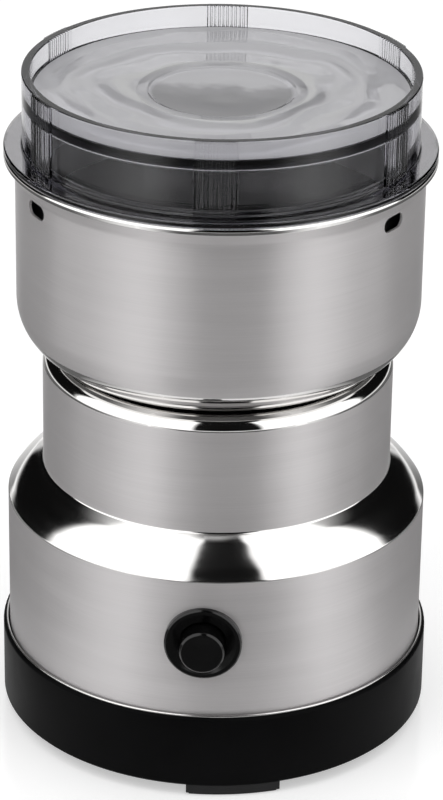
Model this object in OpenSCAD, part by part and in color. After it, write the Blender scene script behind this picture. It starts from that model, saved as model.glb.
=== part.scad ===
// Electric spice grinder: a fixed steel grinding cup on a waisted steel motor housing,
// with a clear smoked lid, a black base tray and a press-and-hold button.
// Millimetres. The origin is on the floor under the middle of the base, +Z is up,
// and the button faces -Y.

/* [Base] */
// How far the base tray stands out round the housing
base_overhang = 1.6; // [1.2:0.1:4]
// Height of the base tray, without its feet
base_h = 18.7; // [17:0.1:24]
// Thickness of the base tray's floor
base_floor_t = 2.2; // [1.8:0.1:3]
// Height of the ledge inside the tray that carries the motor housing
base_ledge_h = 4; // [3:0.1:5]
// Rounding of the tray's top edge
base_edge_r = 0.8; // [0.3:0.1:1]
// Height of each foot below the tray
foot_h = 2.8; // [2:0.1:6]
// Width of each foot along the tray's edge
foot_w = 22.8; // [14:0.2:30]
// Depth of each foot towards the middle
foot_depth = 9; // [7:0.5:12]
// Turn of the front foot away from the button
foot_turn = 8.6; // [0:0.2:20]
// Width of each vent slot in the tray's floor
vent_w = 2.4; // [1.6:0.1:3]
// Number of vent slots in the outer ring
vent_count = 30; // [18:1:36]

/* [Cord outlet] */
// Bore of the cord gland
gland_bore_d = 6.6; // [5:0.1:7]
// Wall of the gland's barrel round the bore
gland_wall_t = 1.6; // [1.2:0.1:2]
// Height of the gland's axis above the floor
gland_z = 12.6; // [11.5:0.1:13]
// How far the gland stands out of the tray
gland_proud = 3.9; // [2.5:0.1:6]

/* [Motor housing] */
// Outside diameter of the housing above the base
housing_d = 101.6; // [98:0.2:102]
// Thickness of every steel wall
steel_t = 0.6; // [0.4:0.1:0.8]
// Height of the straight wall between the base tray and the shoulder
lower_h = 35.7; // [33:0.1:42]
// Height of the polished shoulder
shoulder_h = 8.5; // [6:0.1:12]
// How far the shoulder bulges out of a straight cone
shoulder_bulge = 0.7; // [0.3:0.1:1.5]
// Outside diameter of the neck
neck_d = 84.4; // [82:0.2:88]
// Height of the straight neck
neck_h = 25.6; // [23:0.1:32]
// Radius of the polished crown at the top of the neck
crown_r = 3.6; // [3:0.1:5]

/* [Cup] */
// Outside diameter of the cup
cup_d = 96.6; // [95:0.2:98]
// Height of the cup from the crown to the rim
cup_h = 50.9; // [46:0.1:58]
// Radius of the cup's lower corner
cup_corner_r = 14; // [11:0.5:15]
// How far the rim stands out round the cup
rim_overhang = 2.7; // [2.4:0.1:4]
// Height of the rolled edge of the rim
rim_h = 1.5; // [1.2:0.1:2]
// Height over which the cup flares out below the rim
flare_h = 3.4; // [2.5:0.1:5]
// Gap between the grinding bowl's wall and the cup's
bowl_gap = 2.7; // [1.5:0.1:4]
// Height of the bowl's floor above the cup's underside
bowl_floor_h = 9.6; // [8.4:0.1:11.5]
// Radius of the bowl's inner corner
bowl_corner_r = 9; // [6:0.5:12]
// Width of each punched slot in the cup
slot_w = 7.6; // [5:0.1:10]
// Height of each punched slot in the cup
slot_h = 3.6; // [2:0.1:4]
// Angle of the two front slots from the button
slot_turn = 58; // [45:1:70]

/* [Lid] */
// How far the lid's wall stands in from the rim's edge
lid_inset = 4.4; // [3.5:0.1:5]
// Height of the lid above the rim
lid_h = 19.1; // [15:0.1:26]
// Thickness of the lid's wall
lid_wall_t = 2; // [1.6:0.1:2.4]
// Thickness of the lid's flange on the rim
lid_flange_t = 1.5; // [1.2:0.1:2]
// Depth of the recess in the top of the lid
lid_recess = 5.1; // [2:0.1:8]
// Thickness of the lid's top plate
lid_plate_t = 2; // [1.6:0.1:2.6]
// Diameter of the shallow round dish in the middle of the top plate
lid_dish_d = 34; // [24:1:44]
// Depth of that round dish
lid_dish_depth = 0.6; // [0.3:0.1:0.9]
// Depth that the lid's skirt reaches into the bowl
skirt_depth = 7; // [4:0.1:10]
// Thickness of the skirt
skirt_t = 1.6; // [1.2:0.1:2]
// Number of ribbed grips round the lid
grip_count = 6; // [3:1:8]
// Number of ribs in each grip
rib_count = 9; // [5:1:11]
// Distance between two ribs
rib_pitch = 1; // [0.9:0.05:1.2]
// Radius of each rib
rib_r = 0.35; // [0.25:0.05:0.4]
// How far a grip's pad stands out of the wall
grip_proud = 0.2; // [0.1:0.05:0.4]
// Turn of the lid away from the button
lid_turn = 1.5; // [0:0.5:10]

/* [Button] */
// Height of the button above the base tray
button_rise = 19.8; // [16:0.1:22]
// Outside diameter of the button's bezel
bezel_d = 18.3; // [17:0.1:21]
// How far the bezel stands out of the housing
bezel_t = 1.3; // [1:0.1:2]
// Depth of the dish in the bezel's face
bezel_dish = 0.7; // [0.3:0.1:0.9]
// Diameter of the button cap
cap_d = 10.6; // [8:0.1:11.4]
// How far the cap stands out of the bezel
cap_proud = 4.2; // [3.4:0.1:5]
// Travel of the button
button_travel = 3; // [2:0.1:3.2]
// Diameter of the switch's threaded barrel
barrel_d = 15.6; // [14.6:0.1:16]
// Length of the threaded barrel behind the bezel
barrel_len = 8.6; // [8.2:0.1:10]
// Diameter of the wire of the return spring
spring_wire_d = 0.6; // [0.4:0.05:0.7]
// Turns of the return spring
spring_turns = 3.5; // [3:0.5:4]

/* [Motor] */
// Diameter of the shaft
shaft_d = 6; // [5:0.1:7]
// Diameter of the armature core
armature_d = 27; // [24:0.5:28]
// Air gap between the armature and the field core
air_gap = 0.5; // [0.4:0.1:0.8]
// Height of both lamination stacks
stack_h = 22; // [18:0.5:24]
// Length of the field core across the coils
field_len = 60; // [58:0.5:61]
// Width of the field core over its rounded sides
field_w = 72; // [70:0.5:76]
// Width of each pole under its coil
pole_w = 18; // [15:0.5:19]
// Thickness of each field coil
coil_t = 6; // [4:0.2:6.4]
// Width of each field coil's winding
coil_w = 7.2; // [6:0.1:8]
// Number of slots in the armature
armature_slots = 12; // [10:1:14]
// Diameter of the commutator
commutator_d = 18; // [16:0.5:19]
// Length of the commutator
commutator_h = 11; // [9:0.5:11.5]
// Diameter of the cooling fan
fan_d = 48; // [40:0.5:49]
// Number of vanes on the fan
fan_vanes = 11; // [7:1:13]
// Height of the fan's vanes
fan_h = 7; // [5:0.5:8]
// Distance of the two motor screws from the axis
motor_screw_x = 30; // [29.5:0.1:31]
// Diameter of the motor screws
motor_screw_d = 4; // [3:0.5:4]
// Outside diameter of both sleeve bearings
bearing_d = 11; // [10:0.5:13]
// Length of both sleeve bearings
bearing_h = 7; // [5:0.5:7]
// Width of each carbon brush
brush_w = 6; // [4:0.2:6.4]
// Height of each carbon brush
brush_h = 5; // [4:0.2:6]
// Length of each carbon brush
brush_len = 12; // [8:0.5:13]

/* [Blade] */
// Length of the blade from tip to tip
blade_d = 66; // [50:1:72]
// Width of the blade at its root
blade_w = 13; // [11:0.5:16]
// Width of the blade at its tip
blade_tip_w = 8; // [6:0.5:10]
// Thickness of the blade
blade_t = 1.5; // [1:0.1:2]
// Distance of each bend from the axis
blade_bend_x = 15; // [12:0.5:20]
// Angle of the two wings that rise
blade_rise_angle = 24; // [10:1:35]
// Angle of the two wings that dip
blade_dip_angle = 8; // [2:1:9]
// Height of the blade above the bowl's floor
blade_clear = 5.6; // [5.4:0.1:8]

/* [Hidden] */
$fn = 96;

// Clearances
eps = 0.01;
cut = 1;               // how far a cutter runs past the face that it opens
fit_gap = 0.15;        // between pieces that nest and don't move
seat_gap = 0.1;        // between a piece and the curved face that it seats on
slide_gap = 0.3;       // between pieces that slide
running_gap = 0.03;    // between a shaft and its bearing
press_gap = 0.01;      // between a shaft and what is pressed on it
lid_gap = 0.4;         // between the lid's skirt and the bowl

// Radii of the outside
housing_r = housing_d / 2;
base_r = housing_r + base_overhang;
neck_r = neck_d / 2;
cup_r = cup_d / 2;
rim_r = cup_r + rim_overhang;
bowl_r = cup_r - 2 * steel_t - bowl_gap;
lid_r = rim_r - lid_inset;

// Levels, from the floor up
tray_floor_z = foot_h + base_floor_t;
housing_z = tray_floor_z + base_ledge_h;
tray_top_z = foot_h + base_h;
shoulder_z = tray_top_z + lower_h;
neck_z = shoulder_z + shoulder_h;
crown_z = neck_z + neck_h;
cup_z = crown_z + crown_r;
rim_z = cup_z + cup_h;
bowl_floor_z = cup_z + bowl_floor_h;
lid_top_z = rim_z + lid_h;

// Levels of the motor, from the crown down
post_h = 5.3;
upper_plate_t = 3;
leg_h = 20;
lower_post_h = 22.5;
lower_plate_t = 2.5;
upper_plate_top_z = cup_z - steel_t - post_h;
upper_plate_z = upper_plate_top_z - upper_plate_t;
stack_top_z = upper_plate_z - leg_h;
stack_z = stack_top_z - stack_h;
lower_plate_top_z = stack_z - lower_post_h;
lower_plate_z = lower_plate_top_z - lower_plate_t;
commutator_z = lower_plate_top_z + 2.6;

shaft_r = shaft_d / 2;
crown_open_r = 24;     // opening in the flat top of the housing

// A disc with a round hole, from z up by h
module washer(r_out, r_in, z, h) {
    translate([0, 0, z])
        linear_extrude(height = h)
            difference() {
                circle(r = r_out);
                circle(r = r_in);
            }
}

// A cylinder along Y, from y0 to y1, at height z
module rod_y(r, y0, y1, z) {
    translate([0, y1, z])
        rotate([90, 0, 0])
            cylinder(r = r, h = y1 - y0);
}

// A pie slice of radius r and the given angle, centred on +X
module slice(r, angle) {
    half_w = r * tan(angle / 2);
    polygon([[0, 0], [r, -half_w], [r, half_w]]);
}

// A rectangle with round corners, centred on the origin
module rounded_rect(w, h, r) {
    square([w - 2 * r, h], center = true);
    square([w, h - 2 * r], center = true);
    for (sx = [-1, 1], sy = [-1, 1])
        translate([sx * (w / 2 - r), sy * (h / 2 - r)])
            circle(r = r);
}

// ---------------------------------------------------------------- base

screw_ring_r = 26;     // distance of the base screws from the axis
screw_boss_r = 6;
base_screw_r = 1.75;
base_screw_head_r = 3.6;
base_screw_head_h = 2.3;
base_screw_recess = 0.4;
foot_stud_r = 2.5;
foot_ring_r = base_r - foot_depth / 2;
ledge_r = housing_r - 3.3;

module at_base_screws() {
    for (a = [45 : 90 : 315])
        rotate(a)
            translate([screw_ring_r, 0])
                children();
}

module at_foot(index) {
    rotate(index * 120 + foot_turn - 90)
        children();
}

// One slot of the given length from radius r outwards
module vent_slot(r, length) {
    translate([r + vent_w / 2, 0])
        circle(r = vent_w / 2);
    translate([r + length - vent_w / 2, 0])
        circle(r = vent_w / 2);
    translate([r + vent_w / 2, -vent_w / 2])
        square([length - vent_w, vent_w]);
}

module base_floor_openings() {
    outer_vent_r = screw_ring_r + screw_boss_r + 1.5;
    outer_vent_end = foot_ring_r - foot_stud_r - 1.5;
    for (i = [0 : vent_count - 1])
        rotate((i + 0.5) * 360 / vent_count)
            vent_slot(outer_vent_r, outer_vent_end - outer_vent_r);
    inner_vents = 12;
    inner_vent_r = 8;
    for (i = [0 : inner_vents - 1])
        rotate(i * 360 / inner_vents)
            vent_slot(inner_vent_r, screw_ring_r - screw_boss_r - inner_vent_r - 1.5);
    for (i = [0 : 2])
        at_foot(i)
            translate([foot_ring_r, 0])
                circle(r = foot_stud_r + fit_gap);
    at_base_screws()
        circle(r = base_screw_head_r + fit_gap);
}

module base_wall_profile() {
    chamfer = 0.6;
    difference() {
        union() {
            translate([ledge_r, tray_floor_z])
                square([base_r - ledge_r, base_h - base_floor_t - base_edge_r]);
            translate([ledge_r, tray_floor_z])
                square([base_r - base_edge_r - ledge_r, base_h - base_floor_t]);
            translate([base_r - base_edge_r, tray_top_z - base_edge_r])
                circle(r = base_edge_r);
        }
        translate([ledge_r - cut, housing_z])
            square([housing_r + fit_gap - ledge_r + cut, base_h]);
    }
    polygon([
        [ledge_r, foot_h],
        [base_r - chamfer, foot_h],
        [base_r, foot_h + chamfer],
        [base_r, tray_floor_z],
        [ledge_r, tray_floor_z]
    ]);
}

module base_tray() {
    head_top_z = foot_h + base_screw_recess + base_screw_head_h;
    color("#161617")
        difference() {
            union() {
                rotate_extrude()
                    base_wall_profile();
                translate([0, 0, foot_h])
                    cylinder(r = ledge_r, h = base_floor_t);
                at_base_screws()
                    translate([0, 0, foot_h])
                        cylinder(r = screw_boss_r, h = housing_z - foot_h);
            }
            translate([0, 0, foot_h - cut])
                linear_extrude(height = base_floor_t + cut)
                    base_floor_openings();
            at_base_screws()
                translate([0, 0, foot_h - cut])
                    cylinder(r = base_screw_head_r + fit_gap, h = head_top_z - foot_h + cut);
            at_base_screws()
                translate([0, 0, foot_h - cut])
                    cylinder(r = base_screw_r + fit_gap, h = housing_z - foot_h + 2 * cut);
            rod_y(gland_r + fit_gap, gland_in_y, base_r + cut, gland_z);
        }
}

module foot(index) {
    edge = 0.6;
    half_angle = asin(foot_w / 2 / base_r);
    tip_angle = asin((foot_w / 2 - edge) / base_r);
    color("#1b1b1c")
        at_foot(index) {
            translate([0, 0, edge])
                linear_extrude(height = foot_h - edge)
                    foot_outline(2 * half_angle, 0);
            linear_extrude(height = edge)
                foot_outline(2 * tip_angle, edge);
            translate([foot_ring_r, 0, foot_h - eps])
                cylinder(r = foot_stud_r, h = base_floor_t - fit_gap);
        }
}

module foot_outline(angle, inset) {
    intersection() {
        difference() {
            circle(r = base_r - 0.6 - inset);
            circle(r = base_r - foot_depth + inset);
        }
        slice(base_r + cut, angle);
    }
}

module base_screws() {
    cross_len = 4;
    cross_w = 1;
    cross_depth = 1.4;
    head_z = foot_h + base_screw_recess;
    tip_z = lower_plate_top_z + lower_boss_h - 1.2;
    color("silver")
        at_base_screws()
            difference() {
                union() {
                    translate([0, 0, head_z])
                        cylinder(r = base_screw_head_r, h = base_screw_head_h);
                    translate([0, 0, head_z])
                        cylinder(r = base_screw_r, h = tip_z - head_z);
                }
                for (a = [0, 90])
                    rotate(a)
                        translate([-cross_len / 2, -cross_w / 2, head_z - cut])
                            cube([cross_len, cross_w, cross_depth + cut]);
            }
}

// ---------------------------------------------------------------- cord outlet

gland_r = gland_bore_d / 2 + gland_wall_t;
gland_flange_r = gland_r + 1.6;
gland_flange_t = 1.4;
gland_tail = 5;        // length of the gland inside the housing
gland_in_y = housing_r - gland_tail;
gland_out_y = base_r + gland_proud;

module cord_gland() {
    color("#1b1b1c")
        difference() {
            union() {
                rod_y(gland_r, gland_in_y, gland_out_y, gland_z);
                difference() {
                    rod_y(gland_flange_r, base_r - gland_flange_t, base_r + gland_flange_t, gland_z);
                    cylinder(r = base_r + seat_gap, h = tray_top_z);
                }
            }
            rod_y(gland_bore_d / 2, gland_in_y - cut, gland_out_y + cut, gland_z);
        }
}

// ---------------------------------------------------------------- motor housing

// Everything within the housing's surface moved inwards by inset, from level z up
module housing_region(inset, z) {
    drop = housing_r - neck_r;
    chord = norm([drop, shoulder_h]);
    bulge_r = chord * chord / (8 * shoulder_bulge) + shoulder_bulge / 2;
    out = [shoulder_h / chord, drop / chord];
    middle = [(housing_r + neck_r) / 2 - inset, shoulder_z + shoulder_h / 2];
    centre = middle - (bulge_r - shoulder_bulge) * out;
    translate([0, z])
        square([housing_r - inset, shoulder_z - z]);
    polygon([
        [0, shoulder_z],
        [housing_r - inset, shoulder_z],
        [neck_r - inset, neck_z],
        [0, neck_z]
    ]);
    intersection() {
        translate(centre)
            circle(r = bulge_r);
        translate([neck_r / 2, shoulder_z])
            square([housing_r, shoulder_h]);
    }
    translate([0, neck_z])
        square([neck_r - inset, neck_h]);
    translate([0, crown_z])
        square([neck_r - crown_r, crown_r - inset]);
    intersection() {
        translate([neck_r - crown_r, crown_z])
            circle(r = crown_r - inset);
        translate([neck_r - crown_r, crown_z])
            square(crown_r);
    }
}

module motor_housing() {
    color("#b9b7b5")
        difference() {
            rotate_extrude()
                difference() {
                    housing_region(0, housing_z);
                    housing_region(steel_t, housing_z - cut);
                    translate([0, cup_z - crown_r])
                        square([crown_open_r, crown_r + cut]);
                }
            rod_y(barrel_d / 2 + fit_gap, -housing_r - cut, 0, button_z);
            rod_y(gland_r + fit_gap, 0, housing_r + cut, gland_z);
            translate([-gland_r - fit_gap, 0, housing_z - cut])
                cube([2 * (gland_r + fit_gap), housing_r + cut, gland_z - housing_z + cut]);
            at_bracket_screws()
                translate([0, 0, cup_z - cut])
                    cylinder(r = bracket_screw_r + fit_gap, h = 2 * cut);
        }
}

// ---------------------------------------------------------------- cup

// Half outline of a round cup: radius r, corner radius c, from level z0 to z1
module cup_region(r, c, z0, z1) {
    translate([0, z0])
        square([r - c, z1 - z0]);
    translate([0, z0 + c])
        square([r, z1 - z0 - c]);
    intersection() {
        translate([r - c, z0 + c])
            circle(r = c);
        translate([r - c, z0])
            square(c);
    }
}

curl_t = steel_t;
rim_edge_r = 1.2;      // rounding of the rim's outer edge
flare_top_r = rim_r - curl_t - fit_gap;
flare_top_z = rim_z - rim_h;
flare_z = flare_top_z - flare_h;
cup_floor_open_r = 20;

module cup_shell() {
    lip_z = rim_z - steel_t - fit_gap;
    slot_z = flare_z - slot_h / 2 - 0.6;
    color("#bdbbb9")
        difference() {
            rotate_extrude() {
                difference() {
                    cup_region(cup_r, cup_corner_r, cup_z, flare_z);
                    cup_region(cup_r - steel_t, cup_corner_r - steel_t, cup_z + steel_t, flare_z + cut);
                    translate([0, cup_z - cut])
                        square([cup_floor_open_r, 2 * cut]);
                }
                polygon([
                    [cup_r - steel_t, flare_z - eps],
                    [cup_r, flare_z - eps],
                    [flare_top_r, flare_top_z],
                    [flare_top_r, lip_z],
                    [flare_top_r - steel_t, lip_z],
                    [flare_top_r - steel_t, flare_top_z]
                ]);
            }
            for (a = [-90 - slot_turn, -90 + slot_turn, 90])
                rotate(a)
                    translate([cup_r - steel_t - cut, 0, slot_z])
                        rotate([90, 0, 90])
                            linear_extrude(height = steel_t + 2 * cut)
                                rounded_rect(slot_w, slot_h, slot_h / 2 - eps);
            at_bracket_screws()
                translate([0, 0, cup_z - cut])
                    cylinder(r = bracket_screw_r + fit_gap, h = 2 * cut + steel_t);
        }
}

module grinding_bowl() {
    curl_end_z = rim_z - rim_h;
    color("#c4c3c1")
        difference() {
            rotate_extrude()
                difference() {
                    union() {
                        cup_region(bowl_r + steel_t, bowl_corner_r + steel_t, bowl_floor_z - steel_t, rim_z);
                        translate([bowl_r, curl_end_z])
                            square([rim_r - bowl_r, rim_h - rim_edge_r]);
                        translate([bowl_r, curl_end_z])
                            square([rim_r - rim_edge_r - bowl_r, rim_h]);
                        translate([rim_r - rim_edge_r, rim_z - rim_edge_r])
                            circle(r = rim_edge_r);
                    }
                    cup_region(bowl_r, bowl_corner_r, bowl_floor_z, rim_z + cut);
                    translate([bowl_r + steel_t, curl_end_z - cut])
                        square([rim_r - curl_t - bowl_r - steel_t, rim_h - steel_t + cut]);
                }
            translate([0, 0, bowl_floor_z - steel_t - cut])
                cylinder(r = seal_r + fit_gap, h = steel_t + 2 * cut);
        }
}

bracket_screw_ring_r = 30;
bracket_screw_r = 2;
support_r = cup_r - cup_corner_r;

module at_bracket_screws() {
    for (a = [30, 150, 270])
        rotate(a)
            translate([bracket_screw_ring_r, 0])
                children();
}

module bowl_support() {
    support_z = cup_z + steel_t;
    support_h = bowl_floor_z - steel_t - support_z;
    color("#232324")
        difference() {
            translate([0, 0, support_z])
                cylinder(r = support_r, h = support_h);
            translate([0, 0, support_z - cut])
                cylinder(r = seal_r + fit_gap, h = support_h + 2 * cut);
            at_bracket_screws()
                translate([0, 0, support_z - cut])
                    cylinder(r = bracket_screw_r + press_gap, h = support_h + 2 * cut);
        }
}

seal_r = 8;
seal_flange_r = 11;
seal_flange_t = 1.6;

module shaft_seal() {
    bottom_z = cup_z + steel_t;
    color("#1d1d1e")
        difference() {
            union() {
                translate([0, 0, bottom_z])
                    cylinder(r = seal_r, h = bowl_floor_z - bottom_z + seal_flange_t);
                translate([0, 0, bowl_floor_z])
                    cylinder(r1 = seal_flange_r, r2 = seal_flange_r - 1, h = seal_flange_t);
            }
            translate([0, 0, bottom_z - cut])
                cylinder(r = shaft_r + slide_gap, h = bowl_floor_h + seal_flange_t + 2 * cut);
        }
}

// ---------------------------------------------------------------- lid

// Outline of the lid's wall with its ribbed grips, seen from above
module lid_wall_outline() {
    pad_r = lid_r + grip_proud;
    pad_angle = (rib_count + 0.6) * rib_pitch / pad_r * 180 / PI;
    difference() {
        union() {
            circle(r = lid_r);
            for (i = [0 : grip_count - 1])
                rotate(i * 360 / grip_count - 90 + lid_turn) {
                    intersection() {
                        circle(r = pad_r);
                        slice(pad_r + cut, pad_angle);
                    }
                    for (k = [0 : rib_count - 1])
                        rotate((k - (rib_count - 1) / 2) * rib_pitch / pad_r * 180 / PI)
                            translate([pad_r, 0])
                                circle(r = rib_r);
                }
        }
        circle(r = lid_r - lid_wall_t);
    }
}

module lid() {
    plate_z = lid_top_z - lid_recess - lid_plate_t;
    skirt_out_r = bowl_r - lid_gap;
    skirt_z = rim_z - skirt_depth;
    color("#55565b", 0.45) {
        translate([0, 0, rim_z])
            linear_extrude(height = lid_h)
                lid_wall_outline();
        rotate_extrude() {
            difference() {
                translate([0, plate_z])
                    square([lid_r - lid_wall_t / 2, lid_plate_t]);
                translate([0, plate_z + lid_plate_t - lid_dish_depth])
                    square([lid_dish_d / 2, lid_dish_depth + cut]);
            }
            translate([skirt_out_r - skirt_t, rim_z])
                square([rim_r - skirt_out_r + skirt_t, lid_flange_t]);
            translate([skirt_out_r - skirt_t, skirt_z])
                square([skirt_t, skirt_depth + eps]);
        }
    }
}

// ---------------------------------------------------------------- button and switch

button_z = tray_top_z + button_rise;
bezel_y = -housing_r - bezel_t;
bezel_plate_t = 1.8;
barrel_end_y = -housing_r + barrel_len;
barrel_bore_r = barrel_d / 2 - 1.3;
cap_r = cap_d / 2;
cap_hole_r = cap_r + slide_gap;
cap_flange_r = barrel_bore_r - slide_gap;
cap_flange_t = 1;
cap_flange_y = bezel_y + bezel_plate_t + slide_gap;
cap_front_y = bezel_y - cap_proud;
stem_r = 2;
switch_len = 6;
stem_end_y = barrel_end_y + 0.8;
nut_r = 11;
nut_t = 2.6;

// Revolves a profile drawn as (radius, y) about the button's axis
module turned_y(z) {
    translate([0, 0, z])
        rotate([-90, 0, 0])
            rotate_extrude()
                children();
}

module switch_bezel() {
    bezel_r = bezel_d / 2;
    lip = 1.2;
    edge = 0.4;
    color("#0f0f10")
        difference() {
            turned_y(button_z)
                polygon([
                    [cap_hole_r, bezel_y + bezel_dish],
                    [bezel_r - lip, bezel_y],
                    [bezel_r - edge, bezel_y],
                    [bezel_r, bezel_y + edge],
                    [bezel_r, bezel_y + bezel_t + cut],
                    [cap_hole_r, bezel_y + bezel_t + cut]
                ]);
            cylinder(r = housing_r + seat_gap, h = shoulder_z);
        }
    color("#0f0f10")
        turned_y(button_z)
            difference() {
                translate([cap_hole_r, bezel_y + bezel_dish])
                    square([barrel_d / 2 - cap_hole_r, barrel_end_y - bezel_y - bezel_dish]);
                translate([cap_hole_r - cut, bezel_y + bezel_plate_t])
                    square([barrel_bore_r - cap_hole_r + cut, barrel_len + cut]);
            }
}

module switch_nut() {
    wall_r = housing_r - steel_t;
    nut_y = -sqrt(wall_r * wall_r - nut_r * nut_r) + seat_gap;
    color("#2a2a2b")
        turned_y(button_z)
            translate([barrel_d / 2 + press_gap, nut_y])
                square([nut_r - barrel_d / 2 - press_gap, nut_t]);
}

module switch_body() {
    color("#e7e3d8")
        turned_y(button_z)
            difference() {
                translate([0, barrel_end_y])
                    square([barrel_d / 2 - fit_gap, switch_len]);
                translate([0, barrel_end_y - cut])
                    square([stem_r + slide_gap, button_travel + 2 * slide_gap + 1.5 + cut]);
            }
}

module switch_terminals() {
    tab_w = 4.8;
    tab_t = 0.8;
    tab_len = 5;
    tab_x = 3.5;
    color("#c9a227")
        for (side = [-1, 1])
            translate([side * tab_x - tab_t / 2, barrel_end_y + switch_len, button_z - tab_w / 2])
                cube([tab_t, tab_len, tab_w]);
}

module button_cap() {
    edge = 0.5;
    hollow = 0.35;
    color("#131314")
        turned_y(button_z)
            polygon([
                [0, cap_front_y + hollow],
                [cap_r - edge - 0.6, cap_front_y],
                [cap_r - edge, cap_front_y],
                [cap_r, cap_front_y + edge],
                [cap_r, cap_flange_y],
                [cap_flange_r, cap_flange_y],
                [cap_flange_r, cap_flange_y + cap_flange_t],
                [0, cap_flange_y + cap_flange_t]
            ]);
}

module button_stem() {
    color("#d9d4c6")
        rod_y(stem_r, cap_flange_y + cap_flange_t, stem_end_y, button_z);
}

// One turn of wire after another, as a swept tube of six sides
module coil_spring(mean_r, wire_r, length, turns) {
    steps = 14;
    sides = 6;
    rings = round(turns * steps);
    points = [
        for (i = [0 : rings], k = [0 : sides - 1])
            let (a = i * 360 / steps, b = k * 360 / sides, r = mean_r + wire_r * cos(b))
                [r * cos(a), r * sin(a), wire_r + (length - 2 * wire_r) * i / rings + wire_r * sin(b)]
    ];
    sides_faces = [
        for (i = [0 : rings - 1], k = [0 : sides - 1])
            let (n = (k + 1) % sides, low = i * sides, high = low + sides)
                [low + k, high + k, high + n, low + n]
    ];
    first_face = [for (k = [0 : sides - 1]) k];
    last_face = [for (k = [sides - 1 : -1 : 0]) rings * sides + k];
    polyhedron(points, concat(sides_faces, [first_face, last_face]), convexity = 10);
}

module button_spring() {
    start_y = cap_flange_y + cap_flange_t;
    color("silver")
        translate([0, start_y, button_z])
            rotate([-90, 0, 0])
                coil_spring(stem_r + 2, spring_wire_d / 2, barrel_end_y - start_y, spring_turns);
}

// ---------------------------------------------------------------- motor frame

boss_r = bearing_d / 2 + 2;
leg_r = 4;
lower_boss_h = 4;
holder_wall_t = 0.6;
holder_h = brush_h + 2 * (holder_wall_t + fit_gap);
holder_w = brush_w + 2 * (holder_wall_t + fit_gap);
brush_z = commutator_z + commutator_h / 2;
holder_in_y = commutator_d / 2 + 2;
holder_out_y = 28;
holder_pad_len = 12;
holder_pad_w = holder_w + 2;
holder_pad_y = (holder_in_y + holder_out_y - holder_pad_len) / 2 + 2;
lower_bearing_z = lower_plate_top_z - bearing_h;
upper_bearing_z = upper_plate_z + 0.5;
lower_plate_r = 35;
upper_plate_r = 37;

module at_motor_screws() {
    for (side = [-1, 1])
        translate([side * motor_screw_x, 0])
            children();
}

module upper_bracket() {
    window_r = 6;
    boss_top_z = upper_bearing_z + bearing_h + 1;
    color("#9a9c9f")
        difference() {
            union() {
                translate([0, 0, upper_plate_z])
                    linear_extrude(height = upper_plate_t)
                        difference() {
                            circle(r = upper_plate_r);
                            for (a = [90, 210, 330])
                                rotate(a)
                                    translate([(boss_r + upper_plate_r) / 2, 0])
                                        circle(r = window_r);
                        }
                translate([0, 0, upper_plate_z])
                    cylinder(r = boss_r, h = boss_top_z - upper_plate_z);
                at_motor_screws()
                    translate([0, 0, stack_top_z])
                        cylinder(r = leg_r, h = leg_h + eps);
                at_bracket_screws()
                    translate([0, 0, upper_plate_z])
                        cylinder(r = leg_r, h = upper_plate_t + post_h);
            }
            translate([0, 0, upper_bearing_z])
                cylinder(r = bearing_d / 2 + press_gap, h = bearing_h + cut);
            translate([0, 0, upper_plate_z - cut])
                cylinder(r = shaft_r + slide_gap, h = 2 * cut);
            at_motor_screws()
                translate([0, 0, stack_top_z - cut])
                    cylinder(r = motor_screw_d / 2 + press_gap, h = leg_h + cut);
            at_bracket_screws()
                translate([0, 0, upper_plate_z - cut])
                    cylinder(r = bracket_screw_r + fit_gap, h = upper_plate_t + post_h + 2 * cut);
        }
}

module upper_bearing() {
    color("#b08d57")
        washer(bearing_d / 2, shaft_r + running_gap, upper_bearing_z, bearing_h);
}

module lower_bracket() {
    boss_z = lower_bearing_z - 1;
    holder_seat_z = brush_z - holder_h / 2;
    window_r = 3;
    window_ring_r = lower_plate_r - window_r - 2;
    color("#2c2d2f")
        difference() {
            union() {
                translate([0, 0, lower_plate_z])
                    linear_extrude(height = lower_plate_t)
                        difference() {
                            circle(r = lower_plate_r);
                            for (a = [22.5 : 45 : 337.5])
                                rotate(a)
                                    translate([window_ring_r, 0])
                                        circle(r = window_r);
                        }
                translate([0, 0, boss_z])
                    cylinder(r = boss_r, h = lower_plate_top_z - boss_z);
                at_motor_screws()
                    translate([0, 0, lower_plate_z])
                        cylinder(r = leg_r, h = stack_z - lower_plate_z);
                at_base_screws()
                    translate([0, 0, lower_plate_z])
                        cylinder(r = leg_r, h = lower_plate_t + lower_boss_h);
                for (front = [true, false])
                    brush_side(front)
                        translate([-holder_pad_w / 2, holder_pad_y, lower_plate_z])
                            cube([holder_pad_w, holder_pad_len, holder_seat_z - lower_plate_z]);
            }
            translate([0, 0, lower_bearing_z])
                cylinder(r = bearing_d / 2 + press_gap, h = bearing_h);
            translate([0, 0, boss_z + cut])
                cylinder(r = shaft_r + slide_gap, h = lower_plate_top_z - boss_z);
            at_motor_screws()
                translate([0, 0, lower_plate_z - cut])
                    cylinder(r = motor_screw_d / 2 + fit_gap, h = lower_post_h + lower_plate_t + 2 * cut);
            at_base_screws()
                translate([0, 0, lower_plate_z - cut])
                    cylinder(r = base_screw_r + press_gap, h = lower_plate_t + lower_boss_h);
        }
}

module lower_bearing() {
    color("#b08d57")
        washer(bearing_d / 2, shaft_r + running_gap, lower_bearing_z, bearing_h);
}

screw_end_gap = 0.5;   // between a screw's tip and the end of its hole
screw_head_h = 2.4;
bracket_screw_head_r = 3.8;
motor_screw_head_r = 3.5;

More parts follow.
